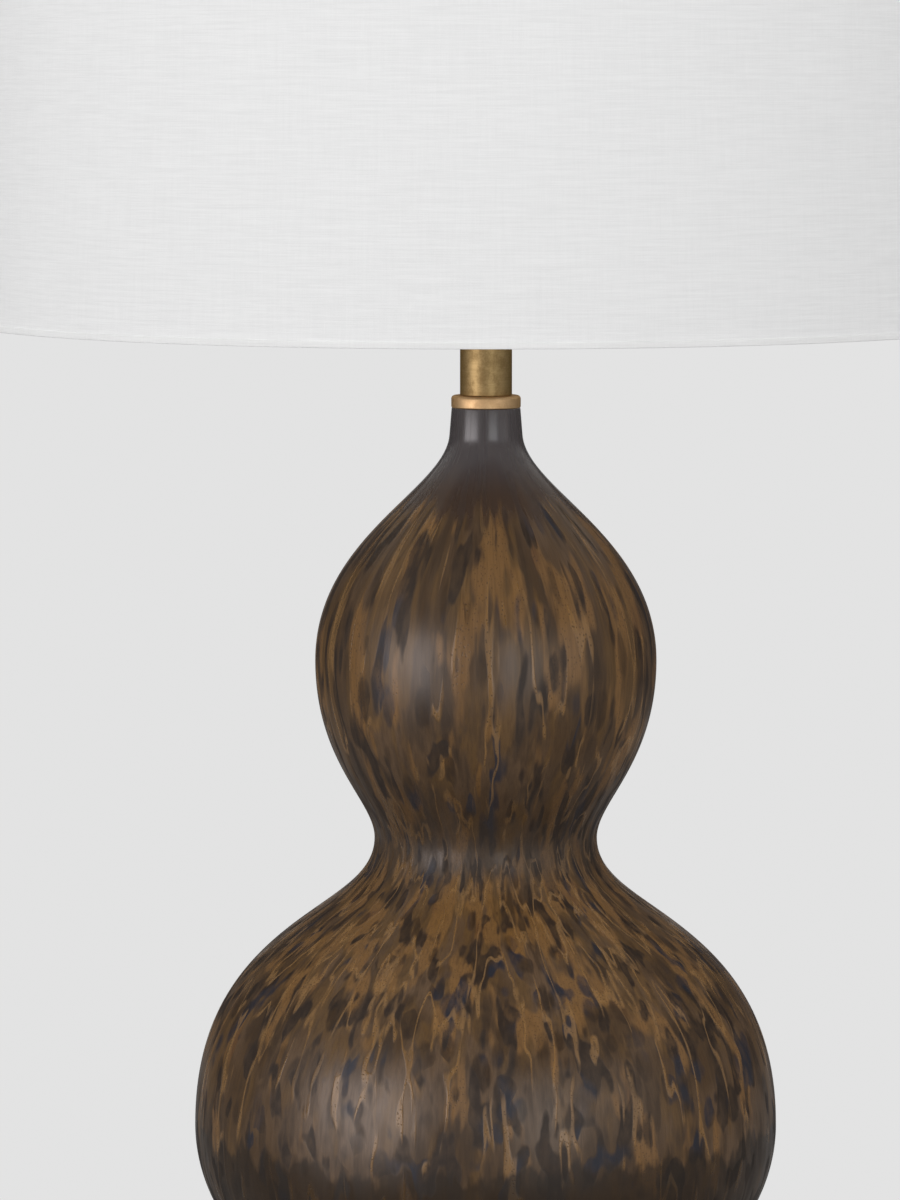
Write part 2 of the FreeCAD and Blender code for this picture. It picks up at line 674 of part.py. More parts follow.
def bulb_contact():
    return turned([(0, BULB_Z), (BULB_CONTACT_R, BULB_Z, BULB_CONTACT_T / 2),
                   (BULB_CONTACT_R, BULB_Z + BULB_CONTACT_T), (0, BULB_Z + BULB_CONTACT_T)])


def bulb_insulator():
    bottom = BULB_Z + BULB_CONTACT_T
    outer = BULB_BASE_R - 2 * THREAD_DEPTH - BULB_BASE_T
    top = BULB_CAP_Z + 2 * BULB_CONTACT_T
    return turned([(0, bottom), (BULB_CONTACT_R, bottom), (outer, BULB_CAP_Z), (outer, top), (0, top)])


def bulb_cap():
    wall = BULB_BASE_T
    root = BULB_BASE_R - THREAD_DEPTH
    top = BULB_CAP_Z + BULB_BASE_H
    ribs = rib_row(BULB_BASE_R, THREAD_DEPTH, BULB_CAP_Z, BULB_BASE_H - THREAD_PITCH)
    outside = [(root, BULB_CAP_Z)] + ribs + [(root, top)]
    inside = [(root - wall, top)] + [(r - wall, z) for r, z in reversed(ribs)]
    return turned(outside + inside + [(root - wall, BULB_CAP_Z)])


def bulb_glass():
    """Frosted envelope: a ball that a straight taper joins to the neck in the base."""
    neck_r = BULB_BASE_R - THREAD_DEPTH - BULB_BASE_T - THREAD_DEPTH
    neck_z = BULB_Z + BULB_NECK_H
    tail_z = BULB_CAP_Z + BULB_BASE_H - THREAD_PITCH
    centre_z = BULB_Z + BULB_L - BULB_R

    def shape(ball_r, throat_r):
        run = math.hypot(throat_r, centre_z - neck_z)
        lean = math.acos(ball_r / run) + math.atan2(throat_r, centre_z - neck_z)
        touch = V(ball_r * math.sin(lean), 0, centre_z - ball_r * math.cos(lean))
        ball_side = V(ball_r, 0, centre_z)
        top = V(0, 0, centre_z + ball_r)
        half = math.radians(45)
        corner = V(ball_r * math.cos(half), 0, centre_z + ball_r * math.sin(half))
        low = V(ball_r * math.sin((lean + math.pi / 2) / 2), 0,
                centre_z - ball_r * math.cos((lean + math.pi / 2) / 2))
        edges = [
            Part.LineSegment(V(0, 0, tail_z), V(throat_r, 0, tail_z)).toShape(),
            Part.LineSegment(V(throat_r, 0, tail_z), V(throat_r, 0, neck_z)).toShape(),
            Part.LineSegment(V(throat_r, 0, neck_z), touch).toShape(),
            Part.Arc(touch, low, ball_side).toShape(),
            Part.Arc(ball_side, corner, top).toShape(),
            Part.LineSegment(top, V(0, 0, tail_z)).toShape(),
        ]
        return Part.Face(Part.Wire(edges)).revolve(V(0, 0, 0), Z_AXIS, 360)

    return shape(BULB_R, neck_r).cut(shape(BULB_R - GLASS_T, neck_r - GLASS_T))


# Shade

def shade_r(z):
    """Radius of the linen's outside at a height."""
    share = (z - SHADE_BOTTOM) / SHADE_H
    return SHADE_R_BOTTOM - SHADE_TAPER * share


def shade_wall(inset, thickness):
    bottom = SHADE_BOTTOM + HEM_T
    top = SHADE_TOP - HEM_T
    return turned([
        (shade_r(bottom) - inset - thickness, bottom), (shade_r(bottom) - inset, bottom),
        (shade_r(top) - inset, top), (shade_r(top) - inset - thickness, top)])


BOTTOM_RING_Z = SHADE_BOTTOM + HEM_T + RING_R
TOP_RING_Z = SHADE_TOP - HEM_T - RING_R
SHADE_WALL = LINEN_T + STYRENE_T


def ring_centre_r(ring_z):
    """The wire lies against the styrene, where the wall is narrowest beside it."""
    nearest = min(shade_r(ring_z - RING_R), shade_r(ring_z + RING_R))
    return nearest - SHADE_WALL - RING_GAP - RING_R


def shade_ring(ring_z):
    return Part.makeTorus(ring_centre_r(ring_z), RING_R, V(0, 0, ring_z))


def shade_hem(edge_z, ring_z):
    """Linen tape folded round the edge: short outside, up behind the ring inside."""
    way = 1 if ring_z > edge_z else -1
    seat = edge_z + way * HEM_T
    out_end = edge_z + way * HEM_OUT_H
    in_end = edge_z + way * HEM_IN_H
    ring_in = ring_centre_r(ring_z) - RING_R
    return turned([
        (shade_r(out_end) + HEM_T, out_end), (shade_r(edge_z) + HEM_T, edge_z, HEM_ROUND),
        (ring_in - HEM_T, edge_z, HEM_ROUND), (ring_in - HEM_T, in_end), (ring_in, in_end),
        (ring_in, seat), (shade_r(seat), seat), (shade_r(out_end), out_end)])


def spider_arms(radius):
    """Three wires, each straight out from the washer and then up to the top ring."""
    rise = math.radians(ARM_RISE_DEG)
    ring_r = ring_centre_r(TOP_RING_Z)
    bend_up = ARM_BEND_R * (1 - math.cos(rise))
    bend_out = ARM_BEND_R * math.sin(rise)
    ramp_up = TOP_RING_Z - SPIDER_Z - bend_up
    ramp_out = ramp_up / math.tan(rise)
    start = V(SPIDER_WASHER_R - ARM_R, 0, SPIDER_Z)
    knee = V(ring_r - ramp_out - bend_out, 0, SPIDER_Z)
    edges = [Part.LineSegment(start, knee).toShape()]
    edge, point, heading = arc_turn(knee, 0, ARM_BEND_R, ARM_RISE_DEG)
    edges.append(edge)
    edges.append(Part.LineSegment(point, V(ring_r, 0, TOP_RING_Z)).toShape())
    arms = []
    for i in range(ARM_COUNT):
        arm = swept_rod(edges, radius)
        arm.rotate(V(0, 0, 0), Z_AXIS, 90 + 360 * i / ARM_COUNT)
        arms.append(arm)
    return arms


def shade_spider():
    washer = disc(SPIDER_WASHER_R, STUD_TOP, SPIDER_WASHER_T)
    spider = washer.fuse(spider_arms(ARM_R))
    spider = spider.cut(disc(STUD_R + SPIDER_HOLE_CLEAR, STUD_TOP, SPIDER_WASHER_T))
    return spider.cut(shade_ring(TOP_RING_Z))


# Finial

def finial():
    """Turned brass: base, waist, ball and a small tip, with a blind threaded bore."""
    base_top = WASHER_TOP + FINIAL_BASE_H
    neck_top = base_top + FINIAL_NECK_H
    ball_z = neck_top + math.sqrt(FINIAL_BALL_R ** 2 - FINIAL_NECK_R ** 2)
    tip_z = ball_z + math.sqrt(FINIAL_BALL_R ** 2 - FINIAL_TIP_R ** 2)
    base = turned([
        (0, WASHER_TOP), (FINIAL_BASE_R, WASHER_TOP, 0.5), (FINIAL_BASE_R, base_top, 1.2),
        (FINIAL_NECK_R, base_top, 1.0), (FINIAL_NECK_R, neck_top + 1), (0, neck_top + 1)])
    ball = Part.makeSphere(FINIAL_BALL_R, V(0, 0, ball_z))
    tip = turned([(0, tip_z - 1), (FINIAL_TIP_R, tip_z - 1),
                  (FINIAL_TIP_R, tip_z + FINIAL_TIP_H, FINIAL_TIP_R * 0.8), (0, tip_z + FINIAL_TIP_H)])
    bore = Part.makeCylinder(STUD_R + FINIAL_THREAD_CLEAR, FINIAL_BORE_H, V(0, 0, WASHER_TOP))
    return base.fuse([ball, tip]).cut(bore).removeSplitter()


def build():
    nodes = {
        "base_felt": base_felt(),
        "gourd_body": gourd_body(),
        "cord_bushing": cord_bushing(),
        "rubber_washer": disc(RUBBER_R, RUBBER_Z, RUBBER_T, PIPE_R),
        "steel_washer": disc(WASHER_R, WASHER_Z, WASHER_T, PIPE_R),
        "bottom_nut": hex_nut(BOTTOM_NUT_Z, BOTTOM_NUT_H),
        "lamp_pipe": lamp_pipe(),
        "neck_cap": neck_cap(),
        "neck_tube": neck_tube(),
        "tube_cap": tube_cap(),
        "top_nut": hex_nut(TUBE_CAP_TOP, TOP_NUT_H),
        "harp_saddle": harp_saddle(),
        "socket_cap": socket_cap(),
        "socket_set_screw": socket_set_screw(),
        "socket_shell": socket_shell(),
        "socket_paper_liner": socket_paper_liner(),
        "socket_interior": socket_interior(),
        "terminal_screws": terminal_screws(),
        "screw_shell": screw_shell(),
        "centre_contact": centre_contact(),
        "switch_stem": switch_stem(),
        "switch_knob": switch_knob(),
        "bulb_contact": bulb_contact(),
        "bulb_insulator": bulb_insulator(),
        "bulb_cap": bulb_cap(),
        "bulb_glass": bulb_glass(),
        "harp_wire": harp_wire(),
        "harp_sleeve_left": harp_sleeve(-1),
        "harp_sleeve_right": harp_sleeve(1),
        "harp_stud": harp_stud(),
        "shade_linen": shade_wall(0, LINEN_T),
        "shade_liner": shade_wall(LINEN_T, STYRENE_T),
        "shade_spider": shade_spider(),
        "shade_bottom_ring": shade_ring(BOTTOM_RING_Z),
        "shade_top_ring": shade_ring(TOP_RING_Z),
        "shade_bottom_hem": shade_hem(SHADE_BOTTOM, BOTTOM_RING_Z),
        "shade_top_hem": shade_hem(SHADE_TOP, TOP_RING_Z).cut(
            Part.makeCompound(spider_arms(ARM_R + RING_GAP))),
        "finial": finial(),
    }
    return nodes


os.makedirs("parts", exist_ok=True)
for name, shape in build().items():
    box = shape.BoundBox
    print(f"{name}: {len(shape.Solids)} solid(s), {shape.Volume / 1000:.2f} cm3, "
          f"valid {shape.isValid()}, z {box.ZMin:.1f} to {box.ZMax:.1f}")
    shape.exportStep(f"parts/{name}.step")
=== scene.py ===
import bpy
import math
import numpy as np
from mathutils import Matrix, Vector


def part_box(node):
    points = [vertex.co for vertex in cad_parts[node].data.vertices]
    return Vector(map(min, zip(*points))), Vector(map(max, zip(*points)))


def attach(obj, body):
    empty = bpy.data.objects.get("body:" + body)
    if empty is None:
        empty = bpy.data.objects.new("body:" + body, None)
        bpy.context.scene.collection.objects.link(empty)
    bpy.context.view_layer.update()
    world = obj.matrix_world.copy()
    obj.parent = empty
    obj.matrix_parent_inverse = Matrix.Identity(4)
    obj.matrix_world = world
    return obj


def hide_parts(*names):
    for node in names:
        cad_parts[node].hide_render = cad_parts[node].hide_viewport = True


# A table lamp: a glazed double gourd, a brass neck, a turn-key socket with its bulb and harp, and a linen
# drum shade. It is finished in the order in which it is put together, from the felt up to the finial.
# Lengths written in mm are turned into metres by MM. The front looks towards -Y.
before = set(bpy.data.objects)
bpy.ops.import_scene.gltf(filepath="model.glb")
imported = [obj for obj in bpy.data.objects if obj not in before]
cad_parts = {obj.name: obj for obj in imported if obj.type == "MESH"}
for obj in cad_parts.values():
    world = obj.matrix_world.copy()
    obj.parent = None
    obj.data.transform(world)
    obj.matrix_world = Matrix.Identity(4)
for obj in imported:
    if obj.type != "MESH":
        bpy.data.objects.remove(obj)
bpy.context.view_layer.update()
MM = 0.001


# Felt under the foot: a die-cut disc of black wool felt, glued on so that the lamp doesn't scratch a
# table. Its fibres are matted, with a soft sheen at a low angle.

def new_finish(name, **sockets):
    """A material with one Principled shader; constants go on the shader's own sockets."""
    material = bpy.data.materials.new(name)
    material.use_nodes = True
    shader = material.node_tree.nodes["Principled BSDF"]
    for socket, value in sockets.items():
        shader.inputs[socket.replace("_", " ")].default_value = value
    return material, material.node_tree, shader


def add(tree, kind, *values, settings=None, **sockets):
    """A shader node with its settings, and a number, a colour or a link in each socket."""
    node = tree.nodes.new("ShaderNode" + kind)
    for setting, value in (settings or {}).items():
        setattr(node, setting, value)
    named = [(socket.replace("_", " "), value) for socket, value in sockets.items()]
    for socket, value in [*enumerate(values), *named]:
        if isinstance(value, bpy.types.NodeSocket):
            tree.links.new(value, node.inputs[socket])
        else:
            node.inputs[socket].default_value = value
    return node


def sums(tree, operation, *values):
    """The outcome of one operation on numbers or links."""
    return add(tree, "Math", *values, settings={"operation": operation}).outputs[0]


def plus(tree, first, second):
    return sums(tree, "ADD", first, second)


def minus(tree, first, second):
    return sums(tree, "SUBTRACT", first, second)


def times(tree, first, second):
    return sums(tree, "MULTIPLY", first, second)


def vector_sums(tree, operation, *values):
    """The outcome of one operation on vectors or links."""
    return add(tree, "VectorMath", *values, settings={"operation": operation}).outputs[0]


def fade(tree, value, start, end, low=0.0, high=1.0):
    """Smooth change from low to high as the value goes from start to end."""
    return add(tree, "MapRange", value, start, end, low, high,
               settings={"interpolation_type": "SMOOTHSTEP"}).outputs[0]


def stretched_noise(tree, place, grain, detail=2.0, roughness=0.5):
    """Noise whose grain is so long in X, Y and Z, in the units of the place that it reads."""
    scaled = vector_sums(tree, "MULTIPLY", place, [1 / length for length in grain])
    return add(tree, "TexNoise", Vector=scaled, Scale=1.0, Detail=detail, Roughness=roughness).outputs[0]


def tint(tree, share, first, second, mode="MIX"):
    """Mix of two colours; each is (red, green, blue) or a link."""
    node = add(tree, "Mix", share, settings={"data_type": "RGBA", "blend_type": mode})
    for socket, colour in ((6, first), (7, second)):
        if isinstance(colour, bpy.types.NodeSocket):
            tree.links.new(colour, node.inputs[socket])
        else:
            node.inputs[socket].default_value = (*colour, 1.0)
    return node.outputs[2]


def relief(tree, shader, height, depth):
    """Surface relief: the height runs from 0 to 1 over so many metres."""
    bump = add(tree, "Bump", Height=height, Distance=depth)
    tree.links.new(bump.outputs[0], shader.inputs["Normal"])


def dress(material, *names):
    """Gives CAD nodes a finish."""
    for name in names:
        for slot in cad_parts[name].material_slots:
            slot.material = material


def felt_finish():
    material, tree, shader = new_finish(
        "wool_felt", Roughness=0.95, Sheen_Weight=0.08, Sheen_Roughness=0.5, Specular_IOR_Level=0.1)
    place = add(tree, "TexCoord").outputs["Object"]
    fibres = stretched_noise(tree, place, (0.4 * MM, 0.4 * MM, 0.4 * MM), detail=5.0, roughness=0.7)
    matting = stretched_noise(tree, place, (7 * MM, 7 * MM, 7 * MM))
    colour = tint(tree, fade(tree, fibres, 0.3, 0.7), (0.006, 0.006, 0.007), (0.055, 0.052, 0.050))
    colour = tint(tree, fade(tree, matting, 0.4, 0.7, 0.0, 0.5), colour, (0.020, 0.019, 0.019))
    tree.links.new(colour, shader.inputs["Base Color"])
    relief(tree, shader, fibres, 0.4 * MM)
    return material


dress(felt_finish(), "base_felt")


# Double gourd: slip-cast stoneware, hollow, with a ring foot and a bore through its neck for the cap.
# Glazed in brown and black tortoiseshell that ran down in streaks from the crown and from the waist.

# The outline: a radius, its height, and how far it keeps upright below and above that, in mm
BELLY = (143.8, 100.3, 46.0, 102.7)
WAIST = (54.8, 242.9, 40.1, 18.6)
BULB = (83.8, 330.6, 50.6, 60.5)
# The inner wall, so far inside it, and how far it keeps upright below and above the same heights
WALL = 6.0
INNER_BELLY, INNER_WAIST, INNER_BULB = (40.0, 98.0), (44.0, 22.0), (46.0, 56.0)
# The ring foot, the floor and the recess under it. The wall swells so far out and up from foot and floor
FOOT_R, FOOT_TOP, FOOT_BOTTOM = 84.0, 17.0, 2.0
FLOOR_R, FLOOR_Z = 92.0, 27.0
RECESS_R, RECESS_Z = 74.0, 20.0
SWELL_OUT, SWELL_UP = 20.0, 6.0
PIPE_HOLE_R = 5.0
# The neck and its lip
NECK_R, NECK_Z, NECK_REACH = 17.9, 441.4, 27.0
LIP_R, LIP_Z = 16.8, 455.0
BORE_R = LIP_R - WALL
# Steps along the outline, along the inner wall and round the piece
OUTLINE_STEPS, INNER_STEPS, ROUND_STEPS = 64, 10, 256
# Corners this near, in mm, are the same one, and points this near are merged
CLOSE = 0.01
MERGE = 0.002 * MM


def select_corners(mesh, corners):
    """Selects the vertices at these (radius, height) places, in mm, and nothing else."""
    for vertex in mesh.vertices:
        x, z = vertex.co.x / MM, vertex.co.z / MM
        vertex.select = any(math.hypot(x - radius, z - height) < CLOSE for radius, height in corners)


def draw_line(knots, steps, closed=False):
    """A line in the XZ plane through knots in mm. A knot is the (radius, height) of a corner, or those of
    a point and of the handles before and after it."""
    bpy.ops.object.select_all(action="DESELECT")
    bpy.ops.curve.primitive_bezier_curve_add()
    line = bpy.context.object
    spline = line.data.splines[0]
    spline.bezier_points.add(len(knots) - 2)
    for point, knot in zip(spline.bezier_points, knots):
        straight = not isinstance(knot[0], tuple)
        places = [knot] * 3 if straight else knot
        point.handle_left_type = point.handle_right_type = "VECTOR" if straight else "FREE"
        point.co, point.handle_left, point.handle_right = (Vector((r, 0, z)) * MM for r, z in places)
    spline.resolution_u = steps
    spline.use_cyclic_u = closed
    bpy.ops.object.convert(target="MESH")
    return line


def round_corners(line, corners, segments=5):
    """Rounds corners of the line: (radius, height, rounding) in mm. A rounding of 0 stays sharp."""
    for size in sorted({corner[2] for corner in corners if corner[2]}):
        bpy.ops.object.mode_set(mode="EDIT")
        bpy.ops.mesh.select_mode(type="VERT")
        bpy.ops.mesh.select_all(action="DESELECT")
        bpy.ops.object.mode_set(mode="OBJECT")
        select_corners(line.data, [corner[:2] for corner in corners if corner[2] == size])
        bpy.ops.object.mode_set(mode="EDIT")
        bpy.ops.mesh.bevel(offset=size * MM, affect="VERTICES", segments=segments)
        bpy.ops.object.mode_set(mode="OBJECT")


def spin(line, name, steps):
    """Turns the line about the lamp's centre line into a closed piece."""
    bpy.ops.object.select_all(action="DESELECT")
    line.select_set(True)
    bpy.context.view_layer.objects.active = line
    bpy.ops.object.mode_set(mode="EDIT")
    bpy.ops.mesh.select_all(action="SELECT")
    bpy.ops.mesh.spin(steps=steps, angle=2 * math.pi, center=(0, 0, 0), axis=(0, 0, 1))
    bpy.ops.mesh.select_all(action="SELECT")
    bpy.ops.mesh.remove_doubles(threshold=MERGE)
    bpy.ops.mesh.normals_make_consistent(inside=False)
    bpy.ops.object.mode_set(mode="OBJECT")
    bpy.ops.object.shade_smooth_by_angle(angle=math.radians(35))
    line.name = line.data.name = name
    return line


def fit(piece, material, body, slot, *replaced):
    """Gives a piece its material and its body, and hides the CAD nodes that it stands for. The slot is not
    used.
    """
    piece.data.materials.clear()
    piece.data.materials.append(material)
    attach(piece, body)
    if replaced:
        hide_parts(*replaced)


def upright(knot):
    """A knot of the outline, which is drawn from the foot up."""
    radius, height, below, above = knot
    return (radius, height), (radius, height - below), (radius, height + above)


def upright_inside(knot, reach):
    """The same knot on the inner wall, which is drawn from the neck down."""
    radius, height = knot[0] - WALL, knot[1]
    below, above = reach
    return (radius, height), (radius, height + above), (radius, height - below)


def cast_gourd():
    foot_rim, floor = (FOOT_R, FOOT_TOP), (FLOOR_R, FLOOR_Z)
    neck, bore = (NECK_R, NECK_Z), (BORE_R, NECK_Z)
    taper = (NECK_R - LIP_R) / (LIP_Z - NECK_Z)
    outside = draw_line([
        (foot_rim, foot_rim, (FOOT_R + SWELL_OUT, FOOT_TOP + SWELL_UP)),
        upright(BELLY), upright(WAIST), upright(BULB),
        (neck, (NECK_R + taper * NECK_REACH, NECK_Z - NECK_REACH), neck)], OUTLINE_STEPS)
    outline = np.array([(vertex.co.x, vertex.co.z) for vertex in outside.data.vertices]) / MM
    inside = draw_line([
        (bore, bore, (BORE_R, NECK_Z - NECK_REACH)),
        upright_inside(BULB, INNER_BULB), upright_inside(WAIST, INNER_WAIST),
        upright_inside(BELLY, INNER_BELLY),
        (floor, (FLOOR_R + SWELL_OUT, FLOOR_Z + SWELL_UP), floor)], INNER_STEPS)
    lip = draw_line([neck, (LIP_R, LIP_Z), (BORE_R, LIP_Z), bore], 1)
    foot = draw_line([
        floor, (PIPE_HOLE_R, FLOOR_Z), (PIPE_HOLE_R, RECESS_Z), (RECESS_R, RECESS_Z),
        (RECESS_R, FOOT_BOTTOM), (FOOT_R, FOOT_BOTTOM), foot_rim], 1)
    for line in (outside, inside, lip):
        line.select_set(True)
    bpy.ops.object.join()
    bpy.ops.object.mode_set(mode="EDIT")
    bpy.ops.mesh.select_all(action="SELECT")
    bpy.ops.mesh.remove_doubles(threshold=MERGE)
    bpy.ops.object.mode_set(mode="OBJECT")
    round_corners(foot, [
        (FOOT_R, FOOT_TOP, 1.5), (FOOT_R, FOOT_BOTTOM, 1.5), (RECESS_R, FOOT_BOTTOM, 1.0),
        (RECESS_R, RECESS_Z, 2.0), (LIP_R, LIP_Z, 0.5), (BORE_R, LIP_Z, 0.5)])
    return spin(foot, "ceramic_gourd", ROUND_STEPS), outline


# Above the waist the way up the outline counts for less, because the streaks are longest there
UPPER_FALL = 0.6


def mark_fall(gourd, outline):
    """Stores how far up the outline each point is, in mm, because the glaze ran along it. Below the foot's
    top it is the height alone."""
    outline = outline[np.argsort(outline[:, 1])]
    step = np.hypot(np.diff(outline[:, 0]), np.diff(outline[:, 1]))
    step = np.where(outline[1:, 1] > WAIST[1], step * UPPER_FALL, step)
    along = np.concatenate([[0.0], np.cumsum(step)])
    attribute = gourd.data.attributes.new("fall", "FLOAT", "POINT")
    for vertex, value in zip(gourd.data.vertices, attribute.data):
        height = vertex.co.z / MM
        value.value = np.interp(height, outline[:, 1], along) + min(height - outline[0, 1], 0.0)


# Colours of the fired glaze: its ground, its gold, its dark blots and spots, and its bands. The foot's
# band is darker glaze with painted shade.
UMBER = (0.082, 0.043, 0.016)
TAUPE = (0.124, 0.071, 0.035)
OCHRE = (0.136, 0.069, 0.018)
GOLD = (0.220, 0.108, 0.030)
PALE_GOLD = (0.285, 0.155, 0.056)
RUST = (0.118, 0.050, 0.019)
BARK = (0.047, 0.023, 0.0075)
SOOT = (0.026, 0.012, 0.0045)
BARK_SPOT = (0.026, 0.012, 0.004)
INK = (0.014, 0.017, 0.032)
IRON = (0.056, 0.031, 0.019)
GUNMETAL = (0.064, 0.053, 0.056)
WAIST_SHADE = (0.028, 0.018, 0.012)
# Foot band colour: darker glaze together with painted shade under the belly
FOOT_GLAZE_AND_PAINTED_SHADE = (0.018, 0.009, 0.003)
# Heights in mm; a band grows between its first two and dies away between its last two
FOOT_GLAZE_AND_SHADE_Z, CROWN_EDGE = 104.0, 406.0
SHOULDER_BAND = (150.0, 205.0, 232.0, 246.0)
WAIST_BAND = (222.0, 240.0, 262.0, 300.0)
UPPER_BAND = (280.0, 350.0, 400.0, 412.0)
GUNMETAL_FROM, GUNMETAL_TO = 412.0, 434.0
EDGE_DRIPS = 40.0
# Heights and radii at which the pattern is unrolled, in mm. The bulb counts fewer mm round, because its
# streaks are broader
UNROLL = ((130.0, 108.0), (330.0, 66.0))
# Gloss: the glaze is rougher than its glassy coat on the neck
GLAZE_ROUGHNESS, COAT_ROUGHNESS, NECK_COAT = 0.37, 0.25, 0.7
GLAZE_RELIEF = 0.12 * MM


def tortoiseshell_glaze():
    material, tree, shader = new_finish(
        "tortoiseshell_glaze", Specular_IOR_Level=0.5, Coat_Roughness=COAT_ROUGHNESS)
    solid = add(tree, "TexCoord").outputs["Object"]
    axes = add(tree, "SeparateXYZ", solid)
    height = times(tree, axes.outputs[2], 1 / MM)

    # A place in mm on the unrolled wall: round it in X and Y, and up it in Z
    around = add(tree, "CombineXYZ", axes.outputs[0], axes.outputs[1], 0.0).outputs[0]
    around = vector_sums(tree, "NORMALIZE", around)
    around = add(tree, "VectorMath", around, settings={"operation": "SCALE"})
    (low, low_r), (high, high_r) = UNROLL
    tree.links.new(fade(tree, height, low, high, low_r, high_r), around.inputs["Scale"])
    fall = add(tree, "Attribute", settings={"attribute_name": "fall"}).outputs["Fac"]
    fall = add(tree, "CombineXYZ", 0.0, 0.0, fall).outputs[0]
    wall = vector_sums(tree, "ADD", around.outputs[0], fall)

    def wandered(place, grain, reach):
        """The place, moved by noise: the glaze wandered as it ran."""
        noise = vector_sums(tree, "MULTIPLY", place, [1 / length for length in grain])
        noise = add(tree, "TexNoise", Vector=noise, Scale=1.0, Detail=2.0).outputs[1]
        noise = vector_sums(tree, "SUBTRACT", noise, (0.5, 0.5, 0.5))
        return vector_sums(tree, "ADD", place, vector_sums(tree, "MULTIPLY", noise, reach))

    def band(value, heights):
        """Mask of a band, from its four heights."""
        start, full, fading, end = heights
        return times(tree, fade(tree, value, start, full), fade(tree, value, end, fading))

    place = wandered(wall, (18.0, 18.0, 60.0), (8.0, 8.0, 10.0))
    ragged = wandered(place, (2.4, 2.4, 7.0), (1.0, 1.0, 3.0))

    # Bands by height: bare iron crown above a dripping edge, dim waist, rich shoulders, and a dark foot,
    # which is darker glaze with painted shade where less light reaches under the belly
    drips = stretched_noise(tree, wall, (7.0, 7.0, 24.0), detail=3.0)
    edge = plus(tree, height, times(tree, minus(tree, drips, 0.5), EDGE_DRIPS))
    crown = fade(tree, edge, CROWN_EDGE - 5, CROWN_EDGE + 5)
    waist = band(edge, WAIST_BAND)
    # Foot band mask: darker glaze with painted shade, growing towards the bottom
    foot = fade(tree, edge, FOOT_GLAZE_AND_SHADE_Z + 3, FOOT_GLAZE_AND_SHADE_Z - 4)
    shoulder = band(height, SHOULDER_BAND)
    upper = band(height, UPPER_BAND)

    # How rich in gold a place is: most on the shoulders, least under the belly, with slow swings
    rich = plus(tree, times(tree, shoulder, 0.038), times(tree, upper, 0.02))
    rich = minus(tree, rich, fade(tree, height, 190.0, 130.0, 0.0, 0.055))
    swings = stretched_noise(tree, place, (24.0, 24.0, 40.0))
    rich = plus(tree, rich, fade(tree, swings, 0.3, 0.7, -0.07, 0.07))

    # Ground: slow changes from umber to taupe, under streaks of bark brown and ochre, with long dark lanes
    # on the bulb
    ground = stretched_noise(tree, place, (26.0, 26.0, 44.0))
    colour = tint(tree, fade(tree, ground, 0.38, 0.62), UMBER, TAUPE)
    hairs = stretched_noise(tree, wall, (1.0, 1.0, 12.0), detail=3.0, roughness=0.6)
    streaks = stretched_noise(tree, ragged, (5.5, 5.5, 30.0))
    colour = tint(tree, fade(tree, streaks, 0.48, 0.64, 0.0, 0.60), colour, BARK)
    lanes = times(tree, fade(tree, stretched_noise(tree, place, (12.0, 12.0, 70.0)), 0.42, 0.60), upper)
    colour = tint(tree, times(tree, lanes, 0.45), colour, BARK)
    drizzle = stretched_noise(tree, ragged, (8.0, 8.0, 40.0))
    colour = tint(tree, fade(tree, plus(tree, drizzle, rich), 0.48, 0.62, 0.0, 0.70), colour, OCHRE)

    # Gold in long ragged columns, widest on the shoulders, and turned to rust in places
    patch = stretched_noise(tree, ragged, (9.5, 9.5, 56.0))
    column = stretched_noise(tree, ragged, (13.0, 13.0, 44.0), detail=3.0)
    patch = sums(tree, "MULTIPLY_ADD", upper, minus(tree, column, patch), patch)
    gold = fade(tree, plus(tree, patch, rich), 0.525, 0.61)
    rust = fade(tree, stretched_noise(tree, place, (13.0, 13.0, 26.0)), 0.58, 0.72, 0.0, 0.6)
    colour = tint(tree, times(tree, gold, 0.82), colour, tint(tree, rust, GOLD, RUST))

    # Dark blots, drawn out by the run and crowded in places, some of them blue-black
    crowding = stretched_noise(tree, place, (16.0, 16.0, 34.0))
    crowding = fade(tree, crowding, 0.3, 0.7, -0.06, 0.05)
    large = stretched_noise(tree, ragged, (6.8, 6.8, 22.0), detail=1.0)
    large = fade(tree, plus(tree, large, crowding), 0.545, 0.625)
    blue = fade(tree, stretched_noise(tree, place, (20.0, 20.0, 36.0)), 0.53, 0.62)
    mottle = stretched_noise(tree, ragged, (3.5, 3.5, 9.0), detail=3.0)
    mottle = fade(tree, mottle, 0.35, 0.65, 0.60, 0.95)
    colour = tint(tree, times(tree, large, mottle), colour, tint(tree, blue, SOOT, INK))

    # Oval spots, each of its own size and depth of colour, most of them below the waist
    oval = vector_sums(tree, "MULTIPLY", ragged, (1 / 7.5, 1 / 7.5, 1 / 17.0))
    oval = add(tree, "TexVoronoi", Vector=oval, Scale=1.0).outputs
    chance = add(tree, "SeparateXYZ", oval["Color"]).outputs
    reach = fade(tree, chance[0], 0.0, 1.0, 0.12, 0.56)
    reach = minus(tree, reach, fade(tree, height, 200.0, 280.0, 0.0, 0.08))
    reach = minus(tree, plus(tree, reach, crowding), oval["Distance"])
    small = times(tree, fade(tree, reach, -0.08, 0.10), fade(tree, chance[1], 0.0, 0.9, 0.35, 0.85))
    colour = tint(tree, times(tree, small, mottle), colour, tint(tree, blue, BARK_SPOT, INK))

